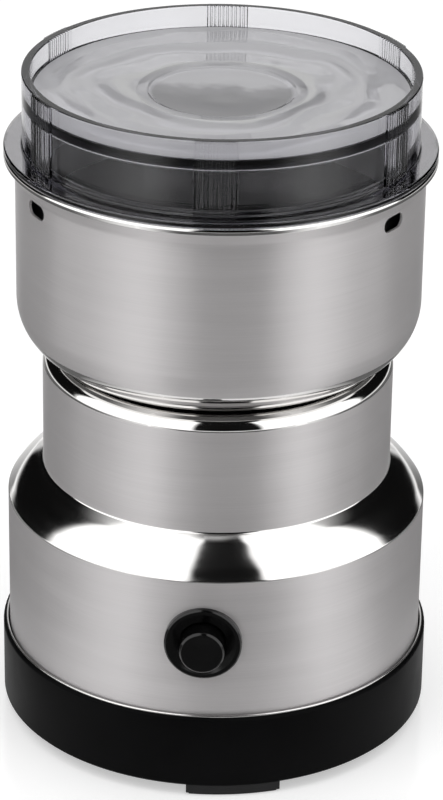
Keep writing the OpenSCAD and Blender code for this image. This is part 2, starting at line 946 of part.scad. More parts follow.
// A pan-head screw whose shank starts at z, pointing up, with its head below
module screw(shank_r, length, head_r) {
    cross_w = 0.9;
    difference() {
        union() {
            translate([0, 0, -screw_head_h])
                cylinder(r = head_r, h = screw_head_h);
            translate([0, 0, -screw_head_h])
                cylinder(r = shank_r, h = length + screw_head_h);
        }
        for (a = [0, 90])
            rotate(a)
                translate([-head_r / 2, -cross_w / 2, -screw_head_h - cut])
                    cube([head_r, cross_w, cut + screw_head_h / 2]);
    }
}

module bracket_screws() {
    hole_end_z = bowl_floor_z - steel_t;
    color("silver")
        at_bracket_screws()
            translate([0, 0, upper_plate_z])
                screw(bracket_screw_r, hole_end_z - screw_end_gap - upper_plate_z, bracket_screw_head_r);
}

module motor_screws() {
    color("silver")
        at_motor_screws()
            translate([0, 0, lower_plate_z])
                screw(motor_screw_d / 2, upper_plate_z - screw_end_gap - lower_plate_z, motor_screw_head_r);
}

module motor_isolators() {
    color("#3a3a3c")
        at_base_screws()
            washer(screw_boss_r - 1, base_screw_r + fit_gap, housing_z, lower_plate_z - housing_z);
}

// ---------------------------------------------------------------- field

window_w = pole_w + 2 * coil_w + 4 * fit_gap + 3;
yoke_t = 6;
window_len = field_len - 2 * yoke_t;
shoe_t = 3;
bore_r = armature_d / 2 + air_gap;

module field_core() {
    color("#6f7277")
        translate([0, 0, stack_z])
            linear_extrude(height = stack_h) {
                difference() {
                    intersection() {
                        circle(r = field_w / 2);
                        square([field_w, field_len], center = true);
                    }
                    rounded_rect(window_w, window_len, 2);
                    for (side = [-1, 1])
                        translate([side * motor_screw_x, 0])
                            circle(r = motor_screw_d / 2 + fit_gap);
                }
                difference() {
                    union() {
                        square([pole_w, window_len + 2], center = true);
                        for (a = [-90, 90])
                            rotate(a)
                                intersection() {
                                    circle(r = bore_r + shoe_t);
                                    slice(bore_r + shoe_t + cut, 112);
                                }
                    }
                    circle(r = bore_r);
                }
            }
}

module field_coil(side) {
    over = coil_w;
    coil_y = window_len / 2 - fit_gap - coil_t;
    color("#a8562a")
        translate([0, side * (coil_y + coil_t / 2) + coil_t / 2, stack_z + stack_h / 2])
            rotate([90, 0, 0])
                linear_extrude(height = coil_t)
                    difference() {
                        rounded_rect(pole_w + 2 * (over + fit_gap), stack_h + 2 * (over + fit_gap), over);
                        square([pole_w + 2 * fit_gap, stack_h + 2 * fit_gap], center = true);
                    }
}

// ---------------------------------------------------------------- brushes

// Places what is drawn towards +Y on the front or the back
module brush_side(front) {
    rotate(front ? 180 : 0)
        children();
}

module brush_holder(front) {
    end_t = 1;
    pocket_w = brush_w + 2 * fit_gap;
    pocket_h = brush_h + 2 * fit_gap;
    color("#c9a227")
        brush_side(front)
            difference() {
                translate([-holder_w / 2, holder_in_y, brush_z - holder_h / 2])
                    cube([holder_w, holder_out_y - holder_in_y, holder_h]);
                translate([-pocket_w / 2, holder_in_y - cut, brush_z - pocket_h / 2])
                    cube([pocket_w, holder_out_y - holder_in_y - end_t + cut, pocket_h]);
            }
}

module carbon_brush(front) {
    color("#2b2b2d")
        brush_side(front)
            difference() {
                translate([-brush_w / 2, 0, brush_z - brush_h / 2])
                    cube([brush_w, commutator_d / 2 + seat_gap + brush_len, brush_h]);
                translate([0, 0, brush_z - brush_h])
                    cylinder(r = commutator_d / 2 + seat_gap, h = 2 * brush_h);
            }
}

module brush_spring(front) {
    start_y = commutator_d / 2 + seat_gap + brush_len;
    color("silver")
        brush_side(front)
            translate([0, start_y, brush_z])
                rotate([-90, 0, 0])
                    coil_spring(1.7, 0.25, holder_out_y - 1 - start_y, 5);
}

capacitor_w = 16;
capacitor_depth = 8;
capacitor_h = 12;
capacitor_gap = 6.8;   // between the capacitor and the gland
capacitor_y = gland_in_y - capacitor_gap - capacitor_depth;

module suppression_capacitor() {
    color("#d8b23a")
        translate([-capacitor_w / 2, capacitor_y, tray_floor_z])
            cube([capacitor_w, capacitor_depth, capacitor_h]);
}

// ---------------------------------------------------------------- rotor

winding_out_h = 7;
spacer_h = 2.2;
blade_z = bowl_floor_z + blade_clear;
blade_edge_w = 2.4;
blade_edge_t = 0.3;
blade_edge_start = 1.5;
nut_h = 5.5;
shaft_bottom_z = lower_bearing_z + seat_gap;
shaft_top_z = blade_z + blade_t + nut_h - 1;
fan_drop = 4;          // between the fan and the upper bracket
fan_z = upper_plate_z - fan_h - fan_drop;

module shaft() {
    chamfer = 0.5;
    color("#a9abad")
        rotate_extrude()
            polygon([
                [0, shaft_bottom_z],
                [shaft_r - chamfer, shaft_bottom_z],
                [shaft_r, shaft_bottom_z + chamfer],
                [shaft_r, shaft_top_z - chamfer],
                [shaft_r - chamfer, shaft_top_z],
                [0, shaft_top_z]
            ]);
}

slot_r = 1.9;
slot_ring_r = armature_d / 2 - slot_r - 1.3;

module armature_core() {
    mouth_w = 1.2;
    color("#8d9095")
        translate([0, 0, stack_z])
            linear_extrude(height = stack_h)
                difference() {
                    circle(r = armature_d / 2);
                    circle(r = shaft_r + press_gap);
                    for (i = [0 : armature_slots - 1])
                        rotate(i * 360 / armature_slots) {
                            translate([slot_ring_r, 0])
                                circle(r = slot_r);
                            translate([slot_ring_r, -mouth_w / 2])
                                square([armature_d, mouth_w]);
                        }
                }
}

module armature_winding() {
    wire_r = slot_r - fit_gap;
    hub_r = shaft_r + 1;
    bulge_r = 3;
    out_r = slot_ring_r + wire_r;
    color("#b3602f") {
        for (i = [0 : armature_slots - 1])
            rotate(i * 360 / armature_slots)
                translate([slot_ring_r, 0, stack_z - eps])
                    cylinder(r = wire_r, h = stack_h + 2 * eps);
        for (z = [stack_top_z, stack_z - winding_out_h])
            rotate_extrude()
                translate([(hub_r + out_r) / 2, z + winding_out_h / 2])
                    rounded_rect(out_r - hub_r, winding_out_h, bulge_r);
    }
}

module commutator() {
    bars = 2 * armature_slots;
    groove_w = 0.4;
    groove_depth = 1;
    riser_r = commutator_d / 2 + 1;
    riser_h = 1.2;
    color("#b87333")
        difference() {
            union() {
                translate([0, 0, commutator_z])
                    cylinder(r = commutator_d / 2, h = commutator_h);
                translate([0, 0, commutator_z + commutator_h - riser_h])
                    cylinder(r = riser_r, h = riser_h);
            }
            translate([0, 0, commutator_z - cut])
                linear_extrude(height = commutator_h + 2 * cut) {
                    circle(r = shaft_r + press_gap);
                    for (i = [0 : bars - 1])
                        rotate(i * 360 / bars)
                            translate([commutator_d / 2 - groove_depth, -groove_w / 2])
                                square([groove_depth + 2, groove_w]);
                }
        }
}

module cooling_fan() {
    hub_r = shaft_r + 3.5;
    plate_t = 1.5;
    vane_t = 1.2;
    vane_arc_r = fan_d / 3;
    color("#2f3032")
        difference() {
            union() {
                translate([0, 0, fan_z])
                    cylinder(r = fan_d / 2, h = plate_t);
                translate([0, 0, fan_z])
                    cylinder(r = hub_r, h = fan_h + 1);
                translate([0, 0, fan_z + plate_t - eps])
                    linear_extrude(height = fan_h - plate_t)
                        intersection() {
                            difference() {
                                circle(r = fan_d / 2 - eps);
                                circle(r = hub_r + 3);
                            }
                            for (i = [0 : fan_vanes - 1])
                                rotate(i * 360 / fan_vanes)
                                    translate([0, vane_arc_r])
                                        difference() {
                                            circle(r = vane_arc_r);
                                            circle(r = vane_arc_r - vane_t);
                                            translate([-2 * vane_arc_r, -vane_arc_r])
                                                square([2 * vane_arc_r, 2 * vane_arc_r]);
                                            translate([-vane_arc_r, 0])
                                                square(2 * vane_arc_r);
                                        }
                        }
            }
            translate([0, 0, fan_z - cut])
                cylinder(r = shaft_r + press_gap, h = fan_h + 2 * cut + 1);
        }
}

module blade_spacer() {
    spacer_z = bowl_floor_z + seal_flange_t + slide_gap;
    color("#8f9194")
        washer(shaft_r + 2.2, shaft_r + press_gap, spacer_z, blade_z - spacer_z);
}

// One wing towards +X: flat to its bend, then turned up by angle, with a ground edge
module blade_wing(length, angle) {
    half_w = blade_w / 2;
    mitre = blade_t / 2 * tan(angle / 2);
    low_bend = [blade_bend_x + mitre, 0];
    high_bend = [blade_bend_x - mitre, blade_t];
    rise = [cos(angle), sin(angle)];
    low_tip = low_bend + (length - blade_bend_x + blade_t) / cos(angle) * rise;
    high_tip = low_tip + blade_t * [-sin(angle), cos(angle)];
    corner = 2;
    difference() {
        intersection() {
            translate([0, half_w, 0])
                rotate([90, 0, 0])
                    linear_extrude(height = blade_w)
                        polygon([[0, 0], low_bend, low_tip, high_tip, high_bend, [0, blade_t]]);
            translate([0, 0, -length])
                linear_extrude(height = 2 * length)
                    polygon([
                        [0, -half_w],
                        [length - corner, -half_w],
                        [length, half_w - blade_tip_w],
                        [length, half_w - corner],
                        [length - corner, half_w],
                        [0, half_w]
                    ]);
        }
        translate([blade_bend_x, -half_w, blade_t / 2])
            rotate([0, 90 - angle, 0])
                translate([blade_t / 2, 0, blade_edge_start])
                    linear_extrude(height = length)
                        polygon([
                            [-2 * blade_t + blade_edge_t, -blade_edge_w],
                            [-2 * blade_t + blade_edge_t, 2 * blade_edge_w],
                            [blade_t - 2 * blade_edge_t, -blade_edge_w]
                        ]);
    }
}

module blade() {
    short_len = blade_d * 0.4;
    color("#cfd0d1")
        translate([0, 0, blade_z])
            difference() {
                union() {
                    for (a = [0, 180])
                        rotate(a)
                            blade_wing(blade_d / 2, blade_rise_angle);
                    for (a = [90, 270])
                        rotate(a)
                            blade_wing(short_len, -blade_dip_angle);
                }
                translate([0, 0, -cut])
                    cylinder(r = shaft_r + press_gap, h = blade_t + 2 * cut);
            }
}

module blade_nut() {
    across_corners = 11.5;
    dome_h = 1.6;
    nut_z = blade_z + blade_t;
    color("#c7c8c9")
        difference() {
            union() {
                translate([0, 0, nut_z])
                    cylinder(r = across_corners / 2, h = nut_h - dome_h, $fn = 6);
                translate([0, 0, nut_z + nut_h - dome_h - eps])
                    cylinder(r1 = across_corners / 2 - 0.9, r2 = across_corners / 4, h = dome_h);
            }
            translate([0, 0, nut_z - cut])
                cylinder(r = shaft_r + press_gap, h = shaft_top_z - nut_z + cut + press_gap);
        }
}

base_tray();
foot(0);  // foot_front
foot(1);  // foot_right
foot(2);  // foot_left
base_screws();
cord_gland();
motor_housing();
cup_shell();
grinding_bowl();
bowl_support();
shaft_seal();
lid();
switch_bezel();
switch_nut();
switch_body();
switch_terminals();
button_cap();
button_stem();
button_spring();
upper_bracket();
lower_bracket();
upper_bearing();
lower_bearing();
bracket_screws();
motor_screws();
motor_isolators();
field_core();
field_coil(-1);  // field_coil_front
field_coil(1);  // field_coil_back
brush_holder(true);  // brush_holder_front
brush_holder(false);  // brush_holder_back
carbon_brush(true);  // carbon_brush_front
carbon_brush(false);  // carbon_brush_back
brush_spring(true);  // brush_spring_front
brush_spring(false);  // brush_spring_back
suppression_capacitor();
shaft();
armature_core();
armature_winding();
commutator();
cooling_fan();
blade_spacer();
blade();
blade_nut();
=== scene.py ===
# Looks for the spice grinder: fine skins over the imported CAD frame, node materials,
# a pale studio and the photograph's camera. Profiles are in millimetres and are
# scaled to metres when a mesh is made.
import math

import bmesh
import bpy
from mathutils import Matrix, Vector


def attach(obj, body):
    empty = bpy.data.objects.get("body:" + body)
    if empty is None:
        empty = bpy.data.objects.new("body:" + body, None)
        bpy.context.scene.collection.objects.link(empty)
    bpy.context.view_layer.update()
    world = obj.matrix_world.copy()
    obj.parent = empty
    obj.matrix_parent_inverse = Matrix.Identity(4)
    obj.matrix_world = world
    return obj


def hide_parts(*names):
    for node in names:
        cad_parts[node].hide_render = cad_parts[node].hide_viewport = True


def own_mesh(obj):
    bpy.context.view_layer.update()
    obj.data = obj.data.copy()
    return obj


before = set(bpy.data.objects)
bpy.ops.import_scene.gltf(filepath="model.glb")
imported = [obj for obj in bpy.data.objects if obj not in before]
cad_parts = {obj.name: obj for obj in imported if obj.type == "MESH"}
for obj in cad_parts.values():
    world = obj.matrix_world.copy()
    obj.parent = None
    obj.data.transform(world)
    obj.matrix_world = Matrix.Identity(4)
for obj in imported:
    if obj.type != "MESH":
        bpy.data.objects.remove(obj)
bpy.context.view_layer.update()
MM = 0.001

# ---------------------------------------------------------------- sizes, from part.scad, in millimetres

TRAY_TOP_Z = 21.5
HOUSING_R = 50.8
HOUSING_Z = 9.0
SHOULDER_Z = 57.2
NECK_Z = 65.7
NECK_R = 42.2
CROWN_Z = 91.3
CROWN_R = 3.6
CUP_Z = 94.9
CUP_R = 48.3
CUP_CORNER_R = 14.0
FLARE_Z = 140.9
FLARE_TOP_Z = 144.3
FLARE_TOP_R = 50.25
RIM_Z = 145.8
RIM_R = 51.0
BOWL_R = 44.4
BOWL_FLOOR_Z = 104.5
BOWL_CORNER_R = 9.0
STEEL_T = 0.6
LID_R = 46.6
LID_WALL_T = 2.0
LID_TOP_Z = 164.9
PLATE_Z = 157.8
PLATE_T = 2.0
DISH_R = 17.0
DISH_DEPTH = 0.6
FLANGE_T = 1.5
SKIRT_R = 44.0
SKIRT_T = 1.6
SKIRT_Z = 138.8
LID_TURN = 1.5
BUTTON_Z = 41.3
BEZEL_Y = -52.1
BEZEL_R = 9.15
CAP_R = 5.3
CAP_Y = -56.3
SLOT_W = 7.6
SLOT_H = 3.6
SLOT_Z = 138.5
SLOT_TURN = 58.0
SPRING_WIRE_R = 0.3
SWITCH_HOLE_R = 7.95
CORD_HOLE_R = 5.05
CORD_Z = 12.6
CROWN_HOLE_R = 24.2
CUP_HOLE_R = 20.2
HUB_HOLE_R = 8.2
BARREL_R = 7.8
BARREL_BORE_R = 6.5
BARREL_END_Y = -42.2
BEZEL_BACK_Y = -49.7
BORE_STEP_Y = -50.3
CAP_FLANGE_R = 6.2
CAP_FLANGE_Y = -50.0
CAP_BACK_Y = -49.0

# ---------------------------------------------------------------- mesh helpers


def rounded(corners, steps=5, support=0.12):
    """A path from (x, y) or (x, y, radius) corners, each radius an arc between two close support points."""
    path = []
    count = len(corners)
    for i, corner in enumerate(corners):
        point = Vector(corner[:2])
        radius = corner[2] if len(corner) > 2 else 0
        if not radius or i in (0, count - 1):
            path.append(tuple(point))
            continue
        before = Vector(corners[i - 1][:2]) - point
        after = Vector(corners[i + 1][:2]) - point
        half = before.angle(after) / 2
        reach = min(radius / math.tan(half), 0.49 * before.length, 0.49 * after.length)
        radius = reach * math.tan(half)
        start = point + before.normalized() * reach
        end = point + after.normalized() * reach
        middle = (before.normalized() + after.normalized()).normalized()
        centre = point + middle * radius / math.sin(half)
        a0 = math.atan2(start.y - centre.y, start.x - centre.x)
        a1 = math.atan2(end.y - centre.y, end.x - centre.x)
        turn = (a1 - a0 + math.pi) % (2 * math.pi) - math.pi
        path.append(tuple(start + before.normalized() * min(support, reach)))
        path += [
            (centre.x + radius * math.cos(a), centre.y + radius * math.sin(a))
            for a in (a0 + turn * k / steps for k in range(steps + 1))
        ]
        path.append(tuple(end + after.normalized() * min(support, reach)))
    return path


def arc(cx, cy, radius, start, end, steps):
    """Points on an arc, by angles in degrees."""
    angles = [math.radians(start + (end - start) * k / steps) for k in range(steps + 1)]
    return [(cx + radius * math.cos(a), cy + radius * math.sin(a)) for a in angles]


def smooth(mesh, angle=38):
    """Smooth shading with sharp edges only where faces meet at more than the angle."""
    mesh.shade_smooth()
    mesh.set_sharp_from_angle(angle=math.radians(angle))


def add(name, mesh, body, node, *materials):
    """Puts a mesh in the scene as a piece on a body, in place of a CAD node."""
    piece = bpy.data.objects.new(name, mesh)
    bpy.context.collection.objects.link(piece)
    for material in materials:
        mesh.materials.append(material)
    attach(piece, body)
    if node:
        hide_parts(node)
    return piece


def lathe(name, profile, segments=192, closed=True, angles=None, radius_of=None, slot_of=None):
    """A mesh turned about +Z from a (radius, height) profile; a closed profile gives a closed body."""
    if angles is None:
        angles = [2 * math.pi * k / segments for k in range(segments)]
    mesh = bpy.data.meshes.new(name)
    bm = bmesh.new()
    rings = []
    for i, (r, z) in enumerate(profile):
        if r < 1e-6:
            rings.append([bm.verts.new((0, 0, z * MM))] * len(angles))
            continue
        ring = []
        for a in angles:
            reach = radius_of(i, r, z, a) if radius_of else r
            ring.append(bm.verts.new((reach * MM * math.cos(a), reach * MM * math.sin(a), z * MM)))
        rings.append(ring)
    last = len(profile) if closed else len(profile) - 1
    for i in range(last):
        low = rings[i]
        high = rings[(i + 1) % len(profile)]
        for k in range(len(angles)):
            n = (k + 1) % len(angles)
            corners = []
            for v in (low[k], low[n], high[n], high[k]):
                if v not in corners:
                    corners.append(v)
            if len(corners) < 3:
                continue
            face = bm.faces.new(corners)
            if slot_of:
                r0, z0 = profile[i]
                r1, z1 = profile[(i + 1) % len(profile)]
                face.material_index = slot_of((r0 + r1) / 2, (z0 + z1) / 2)
    bmesh.ops.recalc_face_normals(bm, faces=bm.faces)
    bm.to_mesh(mesh)
    bm.free()
    smooth(mesh)
    return mesh


def coil(name, radius, wire_r, start, end, z, turns=3.5, steps=24, sides=10):
    """A coil of round wire about the +Y axis at height z, between two y values, all in metres."""
    mesh = bpy.data.meshes.new(name)
    bm = bmesh.new()
    count = int(turns * steps)
    rings = []
    for k in range(count + 1):
        a = 2 * math.pi * k / steps
        along = start + wire_r + (end - start - 2 * wire_r) * k / count
        ring = []
        for j in range(sides):
            b = 2 * math.pi * j / sides
            reach = radius + wire_r * math.cos(b)
            ring.append(bm.verts.new((reach * math.cos(a), along + wire_r * math.sin(b), z + reach * math.sin(a))))
        rings.append(ring)
    for lower, upper in zip(rings, rings[1:]):
        for j in range(sides):
            bm.faces.new((lower[j], lower[(j + 1) % sides], upper[(j + 1) % sides], upper[j]))
    bm.faces.new(rings[0])
    bm.faces.new(rings[-1])
    bmesh.ops.recalc_face_normals(bm, faces=bm.faces)
    bm.to_mesh(mesh)
    bm.free()
    mesh.shade_smooth()
    return mesh


def turned_y(mesh, z):
    """Turns a mesh lathed about +Z so that its axis is +Y at height z, with heights becoming y."""
    mesh.transform(Matrix.Translation((0, 0, z * MM)) @ Matrix.Rotation(math.radians(-90), 4, "X"))
    mesh.update()
    return mesh


def cut_with(piece, cutters):
    """Cuts closed meshes out of a piece and drops the cutters."""
    for cutter in cutters:
        obj = bpy.data.objects.new("cutter", cutter)
        bpy.context.collection.objects.link(obj)
        mod = piece.modifiers.new("cut", "BOOLEAN")
        mod.operation = "DIFFERENCE"
        mod.solver = "EXACT"
        mod.object = obj
        bpy.context.view_layer.update()
        graph = bpy.context.evaluated_depsgraph_get()
        result = bpy.data.meshes.new_from_object(piece.evaluated_get(graph))
        piece.modifiers.remove(mod)
        piece.data = result
        bpy.data.objects.remove(obj)
    smooth(piece.data)


def prism(outline, low, high, bevel=0.0):
    """A closed mesh from an (x, y) outline between two heights, in millimetres, with bevelled edges."""
    mesh = bpy.data.meshes.new("prism")
    bm = bmesh.new()
    bottom = [bm.verts.new((x * MM, y * MM, low * MM)) for x, y in outline]
    top = [bm.verts.new((x * MM, y * MM, high * MM)) for x, y in outline]
    bm.faces.new(bottom[::-1])
    bm.faces.new(top)
    for k in range(len(outline)):
        n = (k + 1) % len(outline)
        bm.faces.new((bottom[k], bottom[n], top[n], top[k]))
    bmesh.ops.recalc_face_normals(bm, faces=bm.faces)
    if bevel:
        sharp = [e for e in bm.edges if e.calc_face_angle(0) > math.radians(40)]
        bmesh.ops.bevel(bm, geom=sharp, offset=bevel * MM, segments=3, affect="EDGES", profile=0.5)
    bm.to_mesh(mesh)
    bm.free()
    smooth(mesh)
    return mesh


# ---------------------------------------------------------------- materials

STEEL = (0.535, 0.518, 0.521)
BRIGHT_STEEL = (0.70, 0.69, 0.68)
INNER_STEEL = (0.5, 0.5, 0.5)
ZINC = (0.62, 0.62, 0.58)
WIRE = (0.55, 0.55, 0.55)
BRASS = (0.75, 0.55, 0.2)
BRONZE = (0.5, 0.33, 0.16)
ENAMELLED = (0.5, 0.17, 0.06)
CARBON = (0.03, 0.03, 0.032)
SMOKE = (0.49, 0.485, 0.53)
SMOKE_DENSITY = 190.0    # per metre


def new_material(name):
    material = bpy.data.materials.new(name)
    material.use_nodes = True
    tree = material.node_tree
    shader = next(n for n in tree.nodes if n.type == "BSDF_PRINCIPLED")
    return material, tree, shader


def node(tree, kind, **values):
    n = tree.nodes.new(kind)
    for key, value in values.items():
        setattr(n, key, value)
    return n


def math_node(tree, operation, a, b=None):
    n = node(tree, "ShaderNodeMath", operation=operation)
    for socket, value in zip(n.inputs, (a, b)):
        if value is None:
            continue
        if isinstance(value, (int, float)):
            socket.default_value = value
        else:
            tree.links.new(value, socket)
    return n.outputs[0]


def place(tree):
    """The point's place in the object, in metres."""
    return node(tree, "ShaderNodeTexCoord").outputs["Object"]


def radius_of_point(tree, x, y):
    """The distance of a point from the Z axis."""
    squares = [math_node(tree, "MULTIPLY", part, part) for part in (x, y)]
    return math_node(tree, "SQRT", math_node(tree, "ADD", *squares))


def ring_place(tree, along, across, high):
    """A vector for streaks that run round the Z axis: slow along them, fast over the radius and the height."""
    split = node(tree, "ShaderNodeSeparateXYZ")
    tree.links.new(place(tree), split.inputs[0])
    x, y, z = split.outputs
    radius = radius_of_point(tree, x, y)
    fast = math_node(
        tree, "ADD", math_node(tree, "MULTIPLY", radius, across), math_node(tree, "MULTIPLY", z, high)
    )
    join = node(tree, "ShaderNodeCombineXYZ")
    tree.links.new(math_node(tree, "MULTIPLY", x, along), join.inputs[0])
    tree.links.new(math_node(tree, "MULTIPLY", y, along), join.inputs[1])
    tree.links.new(fast, join.inputs[2])
    return join.outputs[0]


def noise(tree, vector, scale, detail=3.0, roughness=0.55):
    n = node(tree, "ShaderNodeTexNoise")
    tree.links.new(vector, n.inputs["Vector"])
    n.inputs["Scale"].default_value = scale
    n.inputs["Detail"].default_value = detail
    n.inputs["Roughness"].default_value = roughness
    return n.outputs["Fac"]


def ramp(tree, fac, stops):
    """A colour ramp from (position, value or colour) stops."""
    n = node(tree, "ShaderNodeValToRGB")
    tree.links.new(fac, n.inputs[0])
    elements = n.color_ramp.elements
    while len(elements) < len(stops):
        elements.new(0.5)
    for element, (position, value) in zip(elements, stops):
        element.position = position
        colour = (value,) * 3 if isinstance(value, (int, float)) else value
        element.color = (*colour, 1)
    return n.outputs[0]


def bump(tree, shader, height, strength, distance):
    n = node(tree, "ShaderNodeBump")
    n.inputs["Strength"].default_value = strength
    n.inputs["Distance"].default_value = distance
    tree.links.new(height, n.inputs["Height"])
    tree.links.new(n.outputs[0], shader.inputs["Normal"])


def around(tree, shader, amount, rotation=0.25):
    """Stretches the highlights across streaks that run round the Z axis."""
    tangent = node(tree, "ShaderNodeTangent", direction_type="RADIAL", axis="Z")
    tree.links.new(tangent.outputs[0], shader.inputs["Tangent"])
    shader.inputs["Anisotropic"].default_value = amount
    shader.inputs["Anisotropic Rotation"].default_value = rotation


def scaled(colour, k):
    return tuple(min(1.0, c * k) for c in colour)


def vary(tree, shader, fac, socket, low, high, edges=(0.3, 0.7)):
    """Links a texture to a shader's socket through a ramp between two values or colours."""
    stops = list(zip(edges, (low, high)))
    tree.links.new(ramp(tree, fac, stops), shader.inputs[socket])


def dress(node_name, material):
    """Gives a CAD node its one material."""
    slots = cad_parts[node_name].data.materials
    slots.clear()
    slots.append(material)


def brushed(name, colour, rough, amount, spread=0.06, depth=0.00002, along=45.0, fine=5200.0, haze=0.0):
    """Steel brushed round the Z axis: streaks in colour and roughness, and highlights drawn out across them.

    Haze is the share of plain diffuse steel grey that the brushing scatters.
    """
    material, tree, shader = new_material(name)
    shader.inputs["Metallic"].default_value = 1 - haze
    streaks = noise(tree, ring_place(tree, along, fine, fine), 1.0, 4.0, 0.6)
    broad = noise(tree, ring_place(tree, along / 3, fine / 14, fine / 14), 1.0, 2.0)
    both = math_node(
        tree, "ADD", math_node(tree, "MULTIPLY", streaks, 0.65), math_node(tree, "MULTIPLY", broad, 0.35)
    )
    vary(tree, shader, both, "Base Color", scaled(colour, 0.93), scaled(colour, 1.05))
    vary(tree, shader, both, "Roughness", rough - spread, rough + spread)
    bump(tree, shader, streaks, 0.25, depth)
    around(tree, shader, amount)
    return material


def polished(name, colour, rough, depth=0.000004):
    """Polished steel with a faint turned grain and slightly uneven gloss."""
    material, tree, shader = new_material(name)
    shader.inputs["Metallic"].default_value = 1
    grain = noise(tree, ring_place(tree, 30.0, 2600.0, 2600.0), 1.0, 3.0)
    cloud = noise(tree, place(tree), 90.0, 2.0)
    vary(tree, shader, cloud, "Base Color", scaled(colour, 0.97), scaled(colour, 1.03))
    vary(tree, shader, grain, "Roughness", rough * 0.7, rough * 1.4)
    bump(tree, shader, grain, 0.12, depth)
    return material


def plastic(name, colour, rough, grain=1800.0, depth=0.00002, patchy=0.25, gloss=0.5):
    """Moulded plastic: a fine pebbled skin, and patches of slightly different gloss."""
    material, tree, shader = new_material(name)
    fine = noise(tree, place(tree), grain, 2.0)
    broad = noise(tree, place(tree), 60.0, 3.0)
    vary(tree, shader, broad, "Base Color", scaled(colour, 1 - patchy), scaled(colour, 1 + patchy))
    vary(tree, shader, broad, "Roughness", rough * 0.88, rough * 1.12)
    bump(tree, shader, fine, 0.3, depth)
    shader.inputs["Specular IOR Level"].default_value = gloss
    return material


def metal(name, colour, rough, grain=700.0, depth=0.00003):
    """Plain metal of inner pieces: cast, drawn or plated, with a fine uneven skin."""
    material, tree, shader = new_material(name)
    shader.inputs["Metallic"].default_value = 1
    fine = noise(tree, place(tree), grain, 4.0)
    vary(tree, shader, fine, "Base Color", scaled(colour, 0.85), scaled(colour, 1.1))
    vary(tree, shader, fine, "Roughness", rough * 0.8, rough * 1.25)
    bump(tree, shader, fine, 0.3, depth)
    return material


WAVE_PITCH = 0.314       # a wave texture of scale 1 repeats about every 0.314 units


def layered(name, colour, pitch, rough=0.45, metallic=1.0):
    """Stacked sheet or wound wire: fine bands across the height."""
    material, tree, shader = new_material(name)
    shader.inputs["Metallic"].default_value = metallic
    wave = node(tree, "ShaderNodeTexWave", wave_type="BANDS", bands_direction="Z")
    tree.links.new(place(tree), wave.inputs["Vector"])
    wave.inputs["Scale"].default_value = WAVE_PITCH / (pitch * MM)
    wave.inputs["Distortion"].default_value = 0.4
    bands = wave.outputs["Fac"]
    vary(tree, shader, bands, "Base Color", scaled(colour, 0.55), colour, (0.1, 0.6))
    shader.inputs["Roughness"].default_value = rough
    bump(tree, shader, bands, 0.5, 0.0001)
    return material


def flow_marks_and_painted_light(tree, shader, colour, height):
    """The wavy marks round a moulding's gate, as high as the value in metres, and the shade in the dish.

    The dish has a painted shade, dark towards the front, and painted highlight lines run round it on the wave
    crests. Ramps over the radius and over y are in units of 50 mm, so 0.34 is the dish's edge at 17 mm.
    """
    per_unit = 20.0
    wave = node(tree, "ShaderNodeTexWave", wave_type="RINGS", rings_direction="Z")
    tree.links.new(place(tree), wave.inputs["Vector"])
    for key, value in (("Scale", 22.0), ("Distortion", 5.0), ("Detail", 1.5), ("Detail Scale", 1.6)):
        wave.inputs[key].default_value = value
    waves = wave.outputs["Fac"]
    split = node(tree, "ShaderNodeSeparateXYZ")
    tree.links.new(place(tree), split.inputs[0])
    x, y, _ = split.outputs
    reach = math_node(tree, "MULTIPLY", radius_of_point(tree, x, y), per_unit)
    outside_dish = ramp(tree, reach, [(0.34, 0.12), (0.40, 1.0), (0.66, 0.9), (0.84, 0.2)])
    bump(tree, shader, math_node(tree, "MULTIPLY", waves, outside_dish), 1.0, height)

    wobble = math_node(tree, "MULTIPLY", noise(tree, place(tree), 110.0, 2.0), 0.016)
    back = math_node(tree, "ADD", y, math_node(tree, "MULTIPLY", wobble, 0.8))
    inside_dish = ramp(tree, reach, [(0.325, 1.0), (0.345, 0.35), (0.58, 0.0)])
    towards_front = ramp(
        tree, math_node(tree, "MULTIPLY", back, per_unit), [(0.06, 1.0), (0.17, 0.75), (0.24, 0.12)]
    )
    # painted shade: the dish's colour darkens towards the front
    dark = math_node(tree, "MULTIPLY", inside_dish, towards_front)
    shade = ramp(tree, dark, [(0.0, colour), (1.0, scaled(colour, 0.42))])

    # painted highlight lines: the colour turns white on the wave crests round the dish
    painted_highlight_crests = ramp(tree, waves, [(0.86, 0.0), (0.97, 1.0)])
    around_dish = ramp(tree, reach, [(0.36, 0.0), (0.40, 0.9), (0.56, 0.6), (0.66, 0.0)])
    mix = node(tree, "ShaderNodeMix", data_type="RGBA")
    tree.links.new(math_node(tree, "MULTIPLY", painted_highlight_crests, around_dish), mix.inputs[0])
    tree.links.new(shade, mix.inputs[6])
    mix.inputs[7].default_value = (1.0, 1.0, 1.0, 1)
    tree.links.new(mix.outputs[2], shader.inputs["Base Color"])


